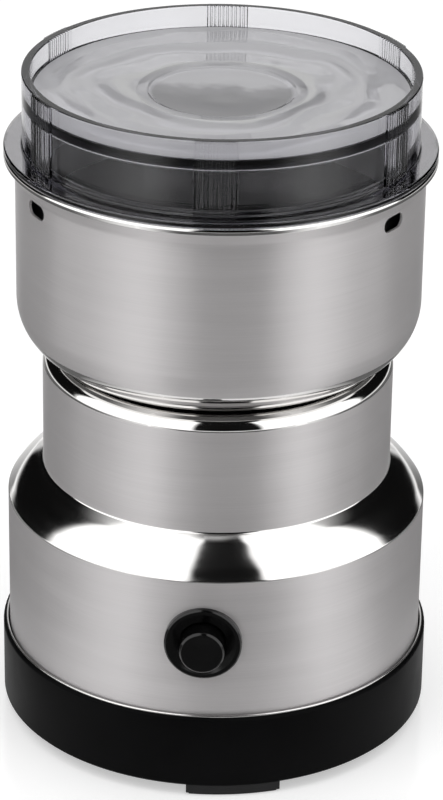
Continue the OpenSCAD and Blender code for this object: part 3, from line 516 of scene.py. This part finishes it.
def clear(name, colour, rough, through=1.0, swirls=0.0):
    """Clear smoked plastic that darkens with its depth, with flow marks and a little dust in its gloss.

    Where less light goes through it has a milky haze. Swirls are the height in metres of strong flow marks; with
    swirls the colour also gets a painted shade in the dish and painted highlight lines round it.
    """
    material, tree, shader = new_material(name)
    shader.inputs["Transmission Weight"].default_value = through
    shader.inputs["IOR"].default_value = 1.49
    depth = node(tree, "ShaderNodeVolumeAbsorption")
    depth.inputs["Color"].default_value = (*SMOKE, 1)
    depth.inputs["Density"].default_value = SMOKE_DENSITY
    output = next(n for n in tree.nodes if n.type == "OUTPUT_MATERIAL")
    tree.links.new(depth.outputs[0], output.inputs["Volume"])
    dust = noise(tree, place(tree), 240.0, 3.0)
    vary(tree, shader, dust, "Roughness", rough * 0.6, rough * 1.8, (0.4, 0.7))
    if swirls:
        flow_marks_and_painted_light(tree, shader, colour, swirls)
    else:
        flow = noise(tree, place(tree), 28.0, 3.0, 0.5)
        vary(tree, shader, flow, "Base Color", scaled(colour, 0.97), scaled(colour, 1.02), (0.35, 0.65))
        bump(tree, shader, flow, 0.1, 0.00012)
    return material


steel_brushed = brushed("steel_brushed", STEEL, 0.38, 0.85, haze=0.48)
steel_polished = polished("steel_polished", BRIGHT_STEEL, 0.06)
steel_shoulder = polished("steel_shoulder", BRIGHT_STEEL, 0.09, depth=0.00001)
steel_rim = polished("steel_rim", (0.72, 0.71, 0.70), 0.07)
steel_bowl = brushed("steel_bowl", (0.66, 0.65, 0.645), 0.38, 0.85, fine=3000.0)
# painted shade: a dark grey steel for the bowl's lower part, far darker than the wall above
steel_bowl_painted_shade = brushed("steel_bowl_painted_shade", (0.14, 0.138, 0.138), 0.18, 0.4, spread=0.03, fine=3000.0)
steel_blade = brushed("steel_blade", (0.66, 0.66, 0.65), 0.25, 0.3, fine=2500.0)
black_base = plastic("black_base", (0.0025, 0.0025, 0.0027), 0.42, depth=0.00003, gloss=0.03)
black_button = plastic("black_button", (0.002, 0.002, 0.0021), 0.13, grain=2600.0, depth=0.000006, gloss=0.4)
rubber = plastic("rubber", (0.010, 0.010, 0.0105), 0.6, grain=900.0, depth=0.00008, gloss=0.2)
smoked = clear("smoked_clear", (0.95, 0.95, 0.96), 0.02)
# the top's colour holds a painted shade in the dish and painted highlight lines round it
smoked_top = clear("smoked_top", (0.93, 0.925, 0.96), 0.04, through=0.48, swirls=0.0024)

INNER = {
    "shaft_seal": plastic("seal_plastic", (0.03, 0.03, 0.03), 0.4),
    "bowl_support": plastic("support_plastic", (0.06, 0.06, 0.06), 0.5),
    "foot_front": rubber,
    "foot_left": rubber,
    "foot_right": rubber,
    "base_tray": black_base,
    "cord_gland": rubber,
    "base_screws": metal("zinc_plate", ZINC, 0.3),
    "bracket_screws": metal("zinc_plate_bracket", ZINC, 0.3),
    "motor_screws": metal("zinc_plate_motor", ZINC, 0.3),
    "switch_nut": plastic("switch_nut_plastic", (0.05, 0.05, 0.05), 0.5),
    "switch_body": plastic("switch_ivory", (0.72, 0.68, 0.58), 0.45, patchy=0.05),
    "button_stem": plastic("stem_ivory", (0.68, 0.64, 0.55), 0.4, patchy=0.05),
    "switch_terminals": metal("brass_terminal", BRASS, 0.25),
    "button_spring": metal("spring_wire", WIRE, 0.25),
    "brush_spring_front": metal("spring_wire_front", WIRE, 0.25),
    "brush_spring_back": metal("spring_wire_back", WIRE, 0.25),
    "upper_bracket": metal("cast_alloy", (0.5, 0.5, 0.51), 0.5, grain=900.0, depth=0.0001),
    "lower_bracket": plastic("bracket_plastic", (0.04, 0.04, 0.045), 0.5),
    "upper_bearing": metal("oiled_bronze_upper", BRONZE, 0.35),
    "lower_bearing": metal("oiled_bronze_lower", BRONZE, 0.35),
    "motor_isolators": plastic("isolator_rubber", (0.05, 0.05, 0.05), 0.7, depth=0.00008),
    "field_core": layered("field_laminations", (0.33, 0.34, 0.36), 0.5),
    "armature_core": layered("armature_laminations", (0.36, 0.37, 0.39), 0.5),
    "field_coil_front": layered("coil_wire_front", ENAMELLED, 0.6, 0.3, 0.8),
    "field_coil_back": layered("coil_wire_back", ENAMELLED, 0.6, 0.3, 0.8),
    "armature_winding": layered("armature_wire", ENAMELLED, 0.5, 0.3, 0.8),
    "brush_holder_front": metal("brass_front", BRASS, 0.3),
    "brush_holder_back": metal("brass_back", BRASS, 0.3),
    "carbon_brush_front": plastic("carbon_front", CARBON, 0.55, depth=0.00008),
    "carbon_brush_back": plastic("carbon_back", CARBON, 0.55, depth=0.00008),
    "suppression_capacitor": plastic("capacitor_case", (0.6, 0.42, 0.06), 0.3, patchy=0.05),
    "shaft": brushed("shaft_steel", INNER_STEEL, 0.3, 0.4, fine=3000.0),
    "commutator": brushed("commutator_copper", (0.6, 0.28, 0.13), 0.3, 0.4, fine=3000.0),
    "cooling_fan": plastic("fan_plastic", (0.05, 0.05, 0.055), 0.45),
    "blade_spacer": brushed("spacer_steel", INNER_STEEL, 0.25, 0.4, fine=3000.0),
}
for name, material in INNER.items():
    dress(name, material)

# ---------------------------------------------------------------- motor housing


def shoulder_arc(steps=10):
    """The slightly bulging shoulder from the lower wall to the neck."""
    bulge = 0.7
    low = Vector((HOUSING_R, SHOULDER_Z))
    high = Vector((NECK_R, NECK_Z))
    out = Vector((NECK_Z - SHOULDER_Z, HOUSING_R - NECK_R)).normalized()
    points = []
    for k in range(steps + 1):
        t = k / steps
        points.append(low.lerp(high, t) + out * bulge * 4 * t * (1 - t))
    return [tuple(p) for p in points]


def housing_outline():
    shoulder = shoulder_arc()
    low = rounded([(HOUSING_R, 24.0), (HOUSING_R, SHOULDER_Z, 0.7), shoulder[2]], steps=6)
    high = rounded([shoulder[-3], (NECK_R, NECK_Z, 0.6), (NECK_R, NECK_Z + 4)], steps=6)
    return (
        [(HOUSING_R, HOUSING_Z), (HOUSING_R, 16.0), (HOUSING_R, 21.55)]
        + low[:-1]
        + shoulder[2:-2]
        + high[1:]
        + [(NECK_R, 75.0), (NECK_R, 83.0), (NECK_R, CROWN_Z - 0.3)]
        + arc(NECK_R - CROWN_R, CROWN_Z, CROWN_R, 0, 90, 18)
        + [(NECK_R - CROWN_R - 0.3, CUP_Z), (CROWN_HOLE_R, CUP_Z)]
    )


def walled(outline, thickness):
    """A closed profile: the outline, and the same line moved inwards by the wall's thickness."""
    inner = []
    for i, (r, z) in enumerate(outline):
        before = Vector(outline[max(i - 1, 0)])
        after = Vector(outline[min(i + 1, len(outline) - 1)])
        along = (after - before).normalized()
        inner.append((r - along.y * thickness, z + along.x * thickness))
    return outline + inner[::-1]


def bore(radius, start, end):
    """The profile of a round cutter between two places on its axis."""
    return [(0, start), (radius, start), (radius, end), (0, end)]


def polish_zone(r, z):
    """Slot 1, the polished steel, on the crown, and slot 2, less polished, on the shoulder."""
    if z > CROWN_Z + 0.3:
        return 1
    return 2 if SHOULDER_Z - 0.2 < z < NECK_Z + 0.1 else 0


housing = add(
    "housing_skin",
    lathe("housing_skin", walled(housing_outline(), STEEL_T), 256, slot_of=polish_zone),
    "housing",
    "motor_housing",
    steel_brushed,
    steel_polished,
    steel_shoulder,
)
cut_with(
    housing,
    [
        turned_y(lathe("hole", bore(SWITCH_HOLE_R, -60, -30), 64, closed=False), BUTTON_Z),
        turned_y(lathe("hole", bore(CORD_HOLE_R, 30, 60), 48, closed=False), CORD_Z),
    ],
)

HEM_IN_R = 51.2         # the bright steel hem that lies on the tray's top, a hair away from the wall
HEM_OUT_R = 51.68
HEM_TOP_Z = 21.92

hem_profile = rounded(
    [
        (HEM_IN_R, TRAY_TOP_Z - 0.05),
        (HEM_IN_R, HEM_TOP_Z, 0.12),
        (HEM_OUT_R, HEM_TOP_Z, 0.2),
        (HEM_OUT_R, TRAY_TOP_Z - 0.15),
    ],
    steps=4,
    support=0.04,
)
hem = add("housing_hem", lathe("housing_hem", hem_profile, 256), "housing", None, steel_rim)

# ---------------------------------------------------------------- cup and bowl


def slot_cutter(turn):
    """A cutter for one punched slot, at an angle from the button."""
    half = SLOT_W / 2 - SLOT_H / 2
    outline = arc(half, 0, SLOT_H / 2, -90, 90, 12) + arc(-half, 0, SLOT_H / 2, 90, 270, 12)
    mesh = prism(outline, 40, 56)
    mesh.transform(
        Matrix.Rotation(math.radians(turn - 90), 4, "Z")
        @ Matrix.Translation((0, 0, SLOT_Z * MM))
        @ Matrix.Rotation(math.radians(90), 4, "Y")
        @ Matrix.Rotation(math.radians(90), 4, "Z")
    )
    return mesh


cup_outline = (
    [(CUP_HOLE_R, CUP_Z), (30.0, CUP_Z), (CUP_R - CUP_CORNER_R - 0.3, CUP_Z)]
    + arc(CUP_R - CUP_CORNER_R, CUP_Z + CUP_CORNER_R, CUP_CORNER_R, -90, 0, 30)
    + [(CUP_R, 109.2), (CUP_R, 120.0), (CUP_R, 132.0)]
    + rounded(
        [(CUP_R, 139.0), (CUP_R, FLARE_Z, 2.5), (FLARE_TOP_R, FLARE_TOP_Z, 1.0), (FLARE_TOP_R, 145.05)],
        steps=6,
    )
)
CUP_POLISH_Z = 102.4    # the cup is polished below this level, where it turns under

cup = add(
    "cup_skin",
    lathe("cup_skin", walled(cup_outline, STEEL_T), 256, slot_of=lambda r, z: 1 if z < CUP_POLISH_Z else 0),
    "housing",
    "cup_shell",
    steel_brushed,
    steel_polished,
)
cut_with(cup, [slot_cutter(-SLOT_TURN), slot_cutter(SLOT_TURN), slot_cutter(180)])

BOWL_SHADE_Z = 129.0      # painted shade: the bowl's colour is darker below this level, as the photo shows it through the lid
RIM_POLISH_Z = 143.9     # the bowl's rim is polished above this level
RIM_LIP_T = 0.5


def bowl_zone(r, z):
    """Slot 1 on the rim and slot 2, painted darker as shade, on the bowl's lower part."""
    if z > RIM_POLISH_Z:
        return 1
    return 2 if z < BOWL_SHADE_Z else 0


bowl_profile = (
    [(HUB_HOLE_R, BOWL_FLOOR_Z), (20.0, BOWL_FLOOR_Z), (BOWL_R - BOWL_CORNER_R - 0.3, BOWL_FLOOR_Z)]
    + arc(BOWL_R - BOWL_CORNER_R, BOWL_FLOOR_Z + BOWL_CORNER_R, BOWL_CORNER_R, -90, 0, 16)
    + rounded(
        [
            (BOWL_R, 114.0),
            (BOWL_R, BOWL_SHADE_Z),
            (BOWL_R, RIM_Z, 0.5),
            (RIM_R, RIM_Z, 0.75),
            (RIM_R, FLARE_TOP_Z, 0.15),
            (RIM_R - RIM_LIP_T, FLARE_TOP_Z, 0.15),
            (RIM_R - RIM_LIP_T, RIM_Z - STEEL_T, 0.3),
            (BOWL_R + STEEL_T, RIM_Z - STEEL_T, 0.3),
            (BOWL_R + STEEL_T, 114.0),
        ],
        steps=5,
        support=0.08,
    )
    + arc(BOWL_R - BOWL_CORNER_R, BOWL_FLOOR_Z + BOWL_CORNER_R, BOWL_CORNER_R + STEEL_T, 0, -90, 16)
    + [(HUB_HOLE_R, BOWL_FLOOR_Z - STEEL_T)]
)
bowl = add(
    "bowl_skin",
    lathe("bowl_skin", bowl_profile, 256, slot_of=bowl_zone),
    "housing",
    "grinding_bowl",
    steel_bowl,
    steel_rim,
    steel_bowl_painted_shade,
)

# ---------------------------------------------------------------- lid

GRIPS = 6
RIBS = 9
RIB_PITCH = 1.0
RIB_R = 0.22
PAD = 0.45              # how far a grip stands out of the wall
PAD_BEVEL = 0.3         # degrees over which a grip rises out of the wall


def lid_angles():
    """Columns round the lid: fine over the ribbed grips, plain between them."""
    angles = []
    half = math.degrees((RIBS + 0.6) / 2 * RIB_PITCH / LID_R)
    fine = RIBS * 8
    for g in range(GRIPS):
        middle = g * 360 / GRIPS - 90 + LID_TURN
        angles.append(middle - half - PAD_BEVEL)
        angles += [middle - half + 2 * half * k / fine for k in range(fine + 1)]
        gap = 360 / GRIPS - 2 * half - 2 * PAD_BEVEL
        plain = 24
        angles += [middle + half + PAD_BEVEL + gap * k / plain for k in range(plain)]
    return [math.radians(a) for a in angles]


def rib_height(a):
    """How far the outer wall stands out at an angle: a thin pad with round ribs."""
    step = 2 * math.pi / GRIPS
    off = (a - math.radians(LID_TURN - 90) + step / 2) % step - step / 2
    arc_mm = off * LID_R
    half = (RIBS + 0.6) / 2 * RIB_PITCH
    if abs(arc_mm) > half + 0.01:
        return 0.0
    rib = (arc_mm / RIB_PITCH + (RIBS - 1) / 2) % 1.0
    rib = min(rib, 1 - rib) * RIB_PITCH
    on_rib = abs(arc_mm) <= (RIBS - 1) / 2 * RIB_PITCH + RIB_R
    return PAD + (math.sqrt(max(RIB_R**2 - rib**2, 0.0)) if on_rib else 0.0)


lid_profile = rounded(
    [
        (0, PLATE_Z),
        (LID_R - LID_WALL_T, PLATE_Z, 0.5),
        (LID_R - LID_WALL_T, RIM_Z + FLANGE_T, 0.25),
        (SKIRT_R - SKIRT_T, RIM_Z + FLANGE_T, 0.3),
        (SKIRT_R - SKIRT_T, SKIRT_Z, 0.3),
        (SKIRT_R, SKIRT_Z, 0.3),
        (SKIRT_R, RIM_Z + 0.04, 0.25),
        (RIM_R - 0.05, RIM_Z + 0.04, 0.4),
        (RIM_R - 0.05, RIM_Z + FLANGE_T, 0.5),
        (LID_R, RIM_Z + FLANGE_T, 0.3),
        (LID_R, LID_TOP_Z, 0.35),
        (LID_R - LID_WALL_T, LID_TOP_Z, 0.35),
        (LID_R - LID_WALL_T, PLATE_Z + PLATE_T, 0.6),
        (DISH_R + 0.5, PLATE_Z + PLATE_T, 1.0),
        (DISH_R - 0.9, PLATE_Z + PLATE_T - DISH_DEPTH, 1.0),
        (0, PLATE_Z + PLATE_T - DISH_DEPTH),
    ],
    steps=5,
    support=0.1,
)


def lid_radius(i, r, z, a):
    """Adds the ribbed grips to the outer wall above the flange."""
    if r < LID_R - 0.4 or z < RIM_Z + FLANGE_T + 0.25 or r > LID_R + 0.05:
        return r
    fade = min(1.0, (LID_TOP_Z - z) / 0.35) if z > LID_TOP_Z - 0.35 else 1.0
    return r + rib_height(a) * fade


def lid_zone(r, z):
    """Slot 1, the hazy skin with a painted dish shade and painted highlight lines, on the plate's top."""
    top = PLATE_Z + PLATE_T
    on_top = top - DISH_DEPTH - 0.1 < z < top + 0.1
    return 1 if on_top and r < LID_R - LID_WALL_T - 0.6 else 0


lid = add(
    "lid_clear",
    lathe("lid_clear", lid_profile, closed=False, angles=lid_angles(), radius_of=lid_radius, slot_of=lid_zone),
    "lid",
    "lid",
    smoked,
    smoked_top,
)

# ---------------------------------------------------------------- button

bezel_profile = rounded(
    [
        (CAP_R + 0.3, BORE_STEP_Y),
        (CAP_R + 0.3, BEZEL_Y + 0.7, 0.25),
        (BEZEL_R - 1.2, BEZEL_Y, 0.3),
        (BEZEL_R - 0.4, BEZEL_Y, 0.25),
        (BEZEL_R, BEZEL_Y + 0.4, 0.25),
        (BEZEL_R, BEZEL_BACK_Y),
        (BARREL_R, BEZEL_BACK_Y),
        (BARREL_R, BARREL_END_Y),
        (BARREL_BORE_R, BARREL_END_Y),
        (BARREL_BORE_R, BORE_STEP_Y),
    ],
    steps=4,
    support=0.05,
)
bezel = add(
    "bezel",
    turned_y(lathe("bezel", bezel_profile, 128), BUTTON_Z),
    "housing",
    "switch_bezel",
    black_button,
)

cap_profile = rounded(
    [
        (0, CAP_Y + 0.35),
        (2.6, CAP_Y + 0.22, 0.8),
        (CAP_R - 1.0, CAP_Y, 0.35),
        (CAP_R - 0.45, CAP_Y, 0.3),
        (CAP_R, CAP_Y + 0.5, 0.3),
        (CAP_R, CAP_FLANGE_Y, 0.1),
        (CAP_FLANGE_R, CAP_FLANGE_Y, 0.1),
        (CAP_FLANGE_R, CAP_BACK_Y, 0.1),
        (0, CAP_BACK_Y),
    ],
    steps=5,
    support=0.05,
)
cap = add(
    "button_face",
    turned_y(lathe("button_face", cap_profile, 128, closed=False), BUTTON_Z),
    "button",
    "button_cap",
    black_button,
)

# The return spring is drawn again as a coil with a mesh of its own.
spring_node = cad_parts["button_spring"]
spring_box = [spring_node.matrix_world @ Vector(corner) for corner in spring_node.bound_box]
spring_start, spring_end = min(c.y for c in spring_box), max(c.y for c in spring_box)
spring_width = max(c.x for c in spring_box) - min(c.x for c in spring_box)
wire_r = SPRING_WIRE_R * MM
spring = add(
    "return_spring",
    coil("return_spring", spring_width / 2 - wire_r, wire_r, spring_start, spring_end, BUTTON_Z * MM),
    "housing",
    "button_spring",
    INNER["button_spring"],
)
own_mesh(spring)

dress("blade", steel_blade)
dress("blade_nut", steel_rim)

# ---------------------------------------------------------------- studio


CAMERA_TURN = 2.84
STUDIO_R = 0.9          # distance of the standing cards
STUDIO_Z = 0.06         # height that their elevations count from
FLOOR_CARD_Z = 0.002
FLARE_START = 0.7       # share of a card's height above which it widens by its flare, in degrees


def card_material():
    """Glows on its front by the mesh's own glow values, and lets light through from behind."""
    material = bpy.data.materials.new("card")
    material.use_nodes = True
    tree = material.node_tree
    tree.nodes.clear()
    glow = tree.nodes.new("ShaderNodeEmission")
    value = tree.nodes.new("ShaderNodeAttribute")
    value.attribute_name = "glow"
    tree.links.new(value.outputs["Fac"], glow.inputs["Strength"])
    side = tree.nodes.new("ShaderNodeNewGeometry")
    mix = tree.nodes.new("ShaderNodeMixShader")
    tree.links.new(side.outputs["Backfacing"], mix.inputs[0])
    tree.links.new(glow.outputs[0], mix.inputs[1])
    tree.links.new(tree.nodes.new("ShaderNodeBsdfTransparent").outputs[0], mix.inputs[2])
    out = tree.nodes.new("ShaderNodeOutputMaterial")
    tree.links.new(mix.outputs[0], out.inputs["Surface"])
    return material


CARD = card_material()


def soft_step(x):
    """Rises smoothly from 0 to 1 as x does."""
    x = max(0.0, min(1.0, x))
    return x * x * (3 - 2 * x)


def card(name, azimuth, span, glow, soft, surround=1.0, on_floor=False, nearer=0.0, flare=(0, 0)):
    """A soft-edged studio card that only reflections see, round the object from azimuth to azimuth.

    Azimuths count from the camera towards +X. A standing card spans elevations in degrees at the
    studio's radius, and a card on the floor spans radii in metres. Over the soft width at each edge,
    as a share of the card, the glow fades to the surround's.
    """
    across, up = 48, 20
    mesh = bpy.data.meshes.new(name)
    verts, glows, faces = [], [], []
    for j in range(up + 1):
        for i in range(across + 1):
            u, v = i / across, j / up
            wider = soft_step((v - FLARE_START) / (1 - FLARE_START))
            first, last = azimuth[0] - flare[0] * wider, azimuth[1] + flare[1] * wider
            az = math.radians(CAMERA_TURN + first + (last - first) * u)
            reach = span[0] + (span[1] - span[0]) * v
            if on_floor:
                radius, height = reach, FLOOR_CARD_Z
            else:
                el = math.radians(reach)
                distance = STUDIO_R - nearer
                radius, height = distance * math.cos(el), STUDIO_Z + distance * math.sin(el)
            verts.append((radius * math.sin(az), -radius * math.cos(az), height))
            inside = (min(u, 1 - u) / soft[0], v / soft[1], (1 - v) / soft[2])
            glows.append(surround + (glow - surround) * min(map(soft_step, inside)))
    for j in range(up):
        for i in range(across):
            a = j * (across + 1) + i
            faces.append((a + across + 1, a + across + 2, a + 1, a))
    mesh.from_pydata(verts, [], faces)
    mesh.attributes.new("glow", "FLOAT", "POINT").data.foreach_set("value", glows)
    normal = mesh.polygons[0].normal
    faces_away = normal.z < 0 if on_floor else normal.dot(Vector(verts[0])) > 0
    if faces_away:
        mesh.flip_normals()
    mesh.materials.append(CARD)
    obj = bpy.data.objects.new(name, mesh)
    bpy.context.collection.objects.link(obj)
    obj.visible_camera = False
    obj.visible_diffuse = False
    obj.visible_shadow = False
    obj.visible_transmission = not on_floor


HARD = 0.001
card("box_left", (-97, -10), (-3, 78), 1.7, (HARD, HARD, HARD), 1.7)
card("box_right", (20, 99), (-3, 78), 1.7, (HARD, HARD, HARD), 1.7)
card("flag_front", (-16, 29), (-3, 82), 0.006, (0.08, HARD, HARD), 1.5, nearer=0.02, flare=(5, 17))
card("flag_top", (-180, 180), (77, 90), 0.006, (HARD, 0.2, HARD), 1.5)
card("flag_back_left", (-156, -97), (-3, 62), 0.005, (0.06, HARD, 0.3), 0.9)
card("flag_back_right", (99, 156), (-3, 62), 0.005, (0.06, HARD, 0.3), 0.9)
card("box_back", (156, 204), (-3, 62), 0.7, (HARD, HARD, 0.2), 0.9)
card("low_front", (-40, 48), (0.06, 0.85), 0.12, (0.25, HARD, 0.1), 1.1, on_floor=True)
card("low_left", (-172, -42), (0.06, 0.7), 0.15, (0.3, HARD, 0.3), 1.1, on_floor=True)
card("low_right", (56, 172), (0.06, 0.7), 0.15, (0.25, HARD, 0.3), 1.1, on_floor=True)

FLOOR_HALF = 4
FLOOR_GLOW = 0.46
AMBIENT = 0.62

floor_mesh = bpy.data.meshes.new("floor")
floor_corners = [(x * FLOOR_HALF, y * FLOOR_HALF, 0) for x, y in ((-1, -1), (1, -1), (1, 1), (-1, 1))]
floor_mesh.from_pydata(floor_corners, [], [(0, 1, 2, 3)])
floor = bpy.data.objects.new("floor", floor_mesh)
bpy.context.collection.objects.link(floor)
floor_material = bpy.data.materials.new("floor_white")
floor_material.use_nodes = True
tree = floor_material.node_tree
shader = tree.nodes["Principled BSDF"]
shader.inputs["Base Color"].default_value = (0.8, 0.8, 0.8, 1)
shader.inputs["Roughness"].default_value = 0.12
shader.inputs["Specular IOR Level"].default_value = 0.5
shader.inputs["Emission Color"].default_value = (1, 1, 1, 1)
shader.inputs["Emission Strength"].default_value = FLOOR_GLOW
floor_mesh.materials.append(floor_material)

world = bpy.data.worlds.new("studio")
bpy.context.scene.world = world
world.use_nodes = True
tree = world.node_tree
tree.nodes.clear()
light_path = tree.nodes.new("ShaderNodeLightPath")
seen = math_node(tree, "MAXIMUM", light_path.outputs["Is Camera Ray"], light_path.outputs["Is Glossy Ray"])
seen = math_node(tree, "MAXIMUM", seen, light_path.outputs["Is Transmission Ray"])
mix = tree.nodes.new("ShaderNodeMixShader")
ambient = tree.nodes.new("ShaderNodeBackground")
ambient.inputs["Strength"].default_value = AMBIENT
white = tree.nodes.new("ShaderNodeBackground")
white.inputs["Color"].default_value = (1, 1, 1, 1)
white.inputs["Strength"].default_value = 1.0
out = tree.nodes.new("ShaderNodeOutputWorld")
tree.links.new(seen, mix.inputs[0])
tree.links.new(ambient.outputs[0], mix.inputs[1])
tree.links.new(white.outputs[0], mix.inputs[2])
tree.links.new(mix.outputs[0], out.inputs["Surface"])


LAMP_TARGET_Z = 0.08


def area_light(name, azimuth, elevation, distance, size, power):
    """A soft lamp aimed at the object's middle."""
    lamp = bpy.data.lights.new(name, "AREA")
    lamp.shape = "DISK"
    lamp.size = size
    lamp.energy = power
    obj = bpy.data.objects.new(name, lamp)
    bpy.context.collection.objects.link(obj)
    az = math.radians(CAMERA_TURN + azimuth)
    el = math.radians(elevation)
    target = Vector((0, 0, LAMP_TARGET_Z))
    direction = Vector((math.cos(el) * math.sin(az), -math.cos(el) * math.cos(az), math.sin(el)))
    obj.location = target + distance * direction
    obj.rotation_euler = (target - obj.location).to_track_quat("-Z", "Y").to_euler()
    obj.visible_glossy = False
    obj.visible_transmission = False


area_light("key", -50, 55, 1.1, 0.7, 2.2)
area_light("fill", 55, 55, 1.1, 0.7, 1.7)
area_light("top", 0, 88, 1.2, 0.9, 1.6)

# ---------------------------------------------------------------- camera

# Fitted to the photograph: the camera's distance in front of the object and its height in
# metres, its angles in radians, and its focal length in pixels of the photograph's height.
CAMERA_FRONT = 0.760495
CAMERA_HEIGHT = 0.441758
CAMERA_PITCH = 0.444006
CAMERA_YAW = 0.00132
CAMERA_ROLL = 0.0155565
FOCAL_PX = 3476.56
PHOTO_HEIGHT_PX = 800
SENSOR_MM = 36.0

turned = Matrix.Rotation(math.radians(CAMERA_TURN), 3, "Z")
position = turned @ Vector((0, -CAMERA_FRONT, CAMERA_HEIGHT))
level = Vector((math.sin(CAMERA_YAW), math.cos(CAMERA_YAW), 0)) * math.cos(CAMERA_PITCH)
forward = turned @ (level - Vector((0, 0, math.sin(CAMERA_PITCH))))
right = turned @ Vector((math.cos(CAMERA_YAW), -math.sin(CAMERA_YAW), 0))
up = right.cross(forward)
tilted_right = right * math.cos(CAMERA_ROLL) + up * math.sin(CAMERA_ROLL)
tilted_up = up * math.cos(CAMERA_ROLL) - right * math.sin(CAMERA_ROLL)
camera_data = bpy.data.cameras.new("camera")
camera_data.sensor_fit = "VERTICAL"
camera_data.sensor_height = SENSOR_MM
camera_data.lens = FOCAL_PX * SENSOR_MM / PHOTO_HEIGHT_PX
camera_data.clip_start = 0.05
camera = bpy.data.objects.new("camera", camera_data)
bpy.context.collection.objects.link(camera)
camera.matrix_world = Matrix(
    (
        (tilted_right.x, tilted_up.x, -forward.x, position.x),
        (tilted_right.y, tilted_up.y, -forward.y, position.y),
        (tilted_right.z, tilted_up.z, -forward.z, position.z),
        (0, 0, 0, 1),
    )
)
bpy.context.scene.camera = camera
bpy.context.scene.view_settings.view_transform = "Standard"

bpy.context.view_layer.update()
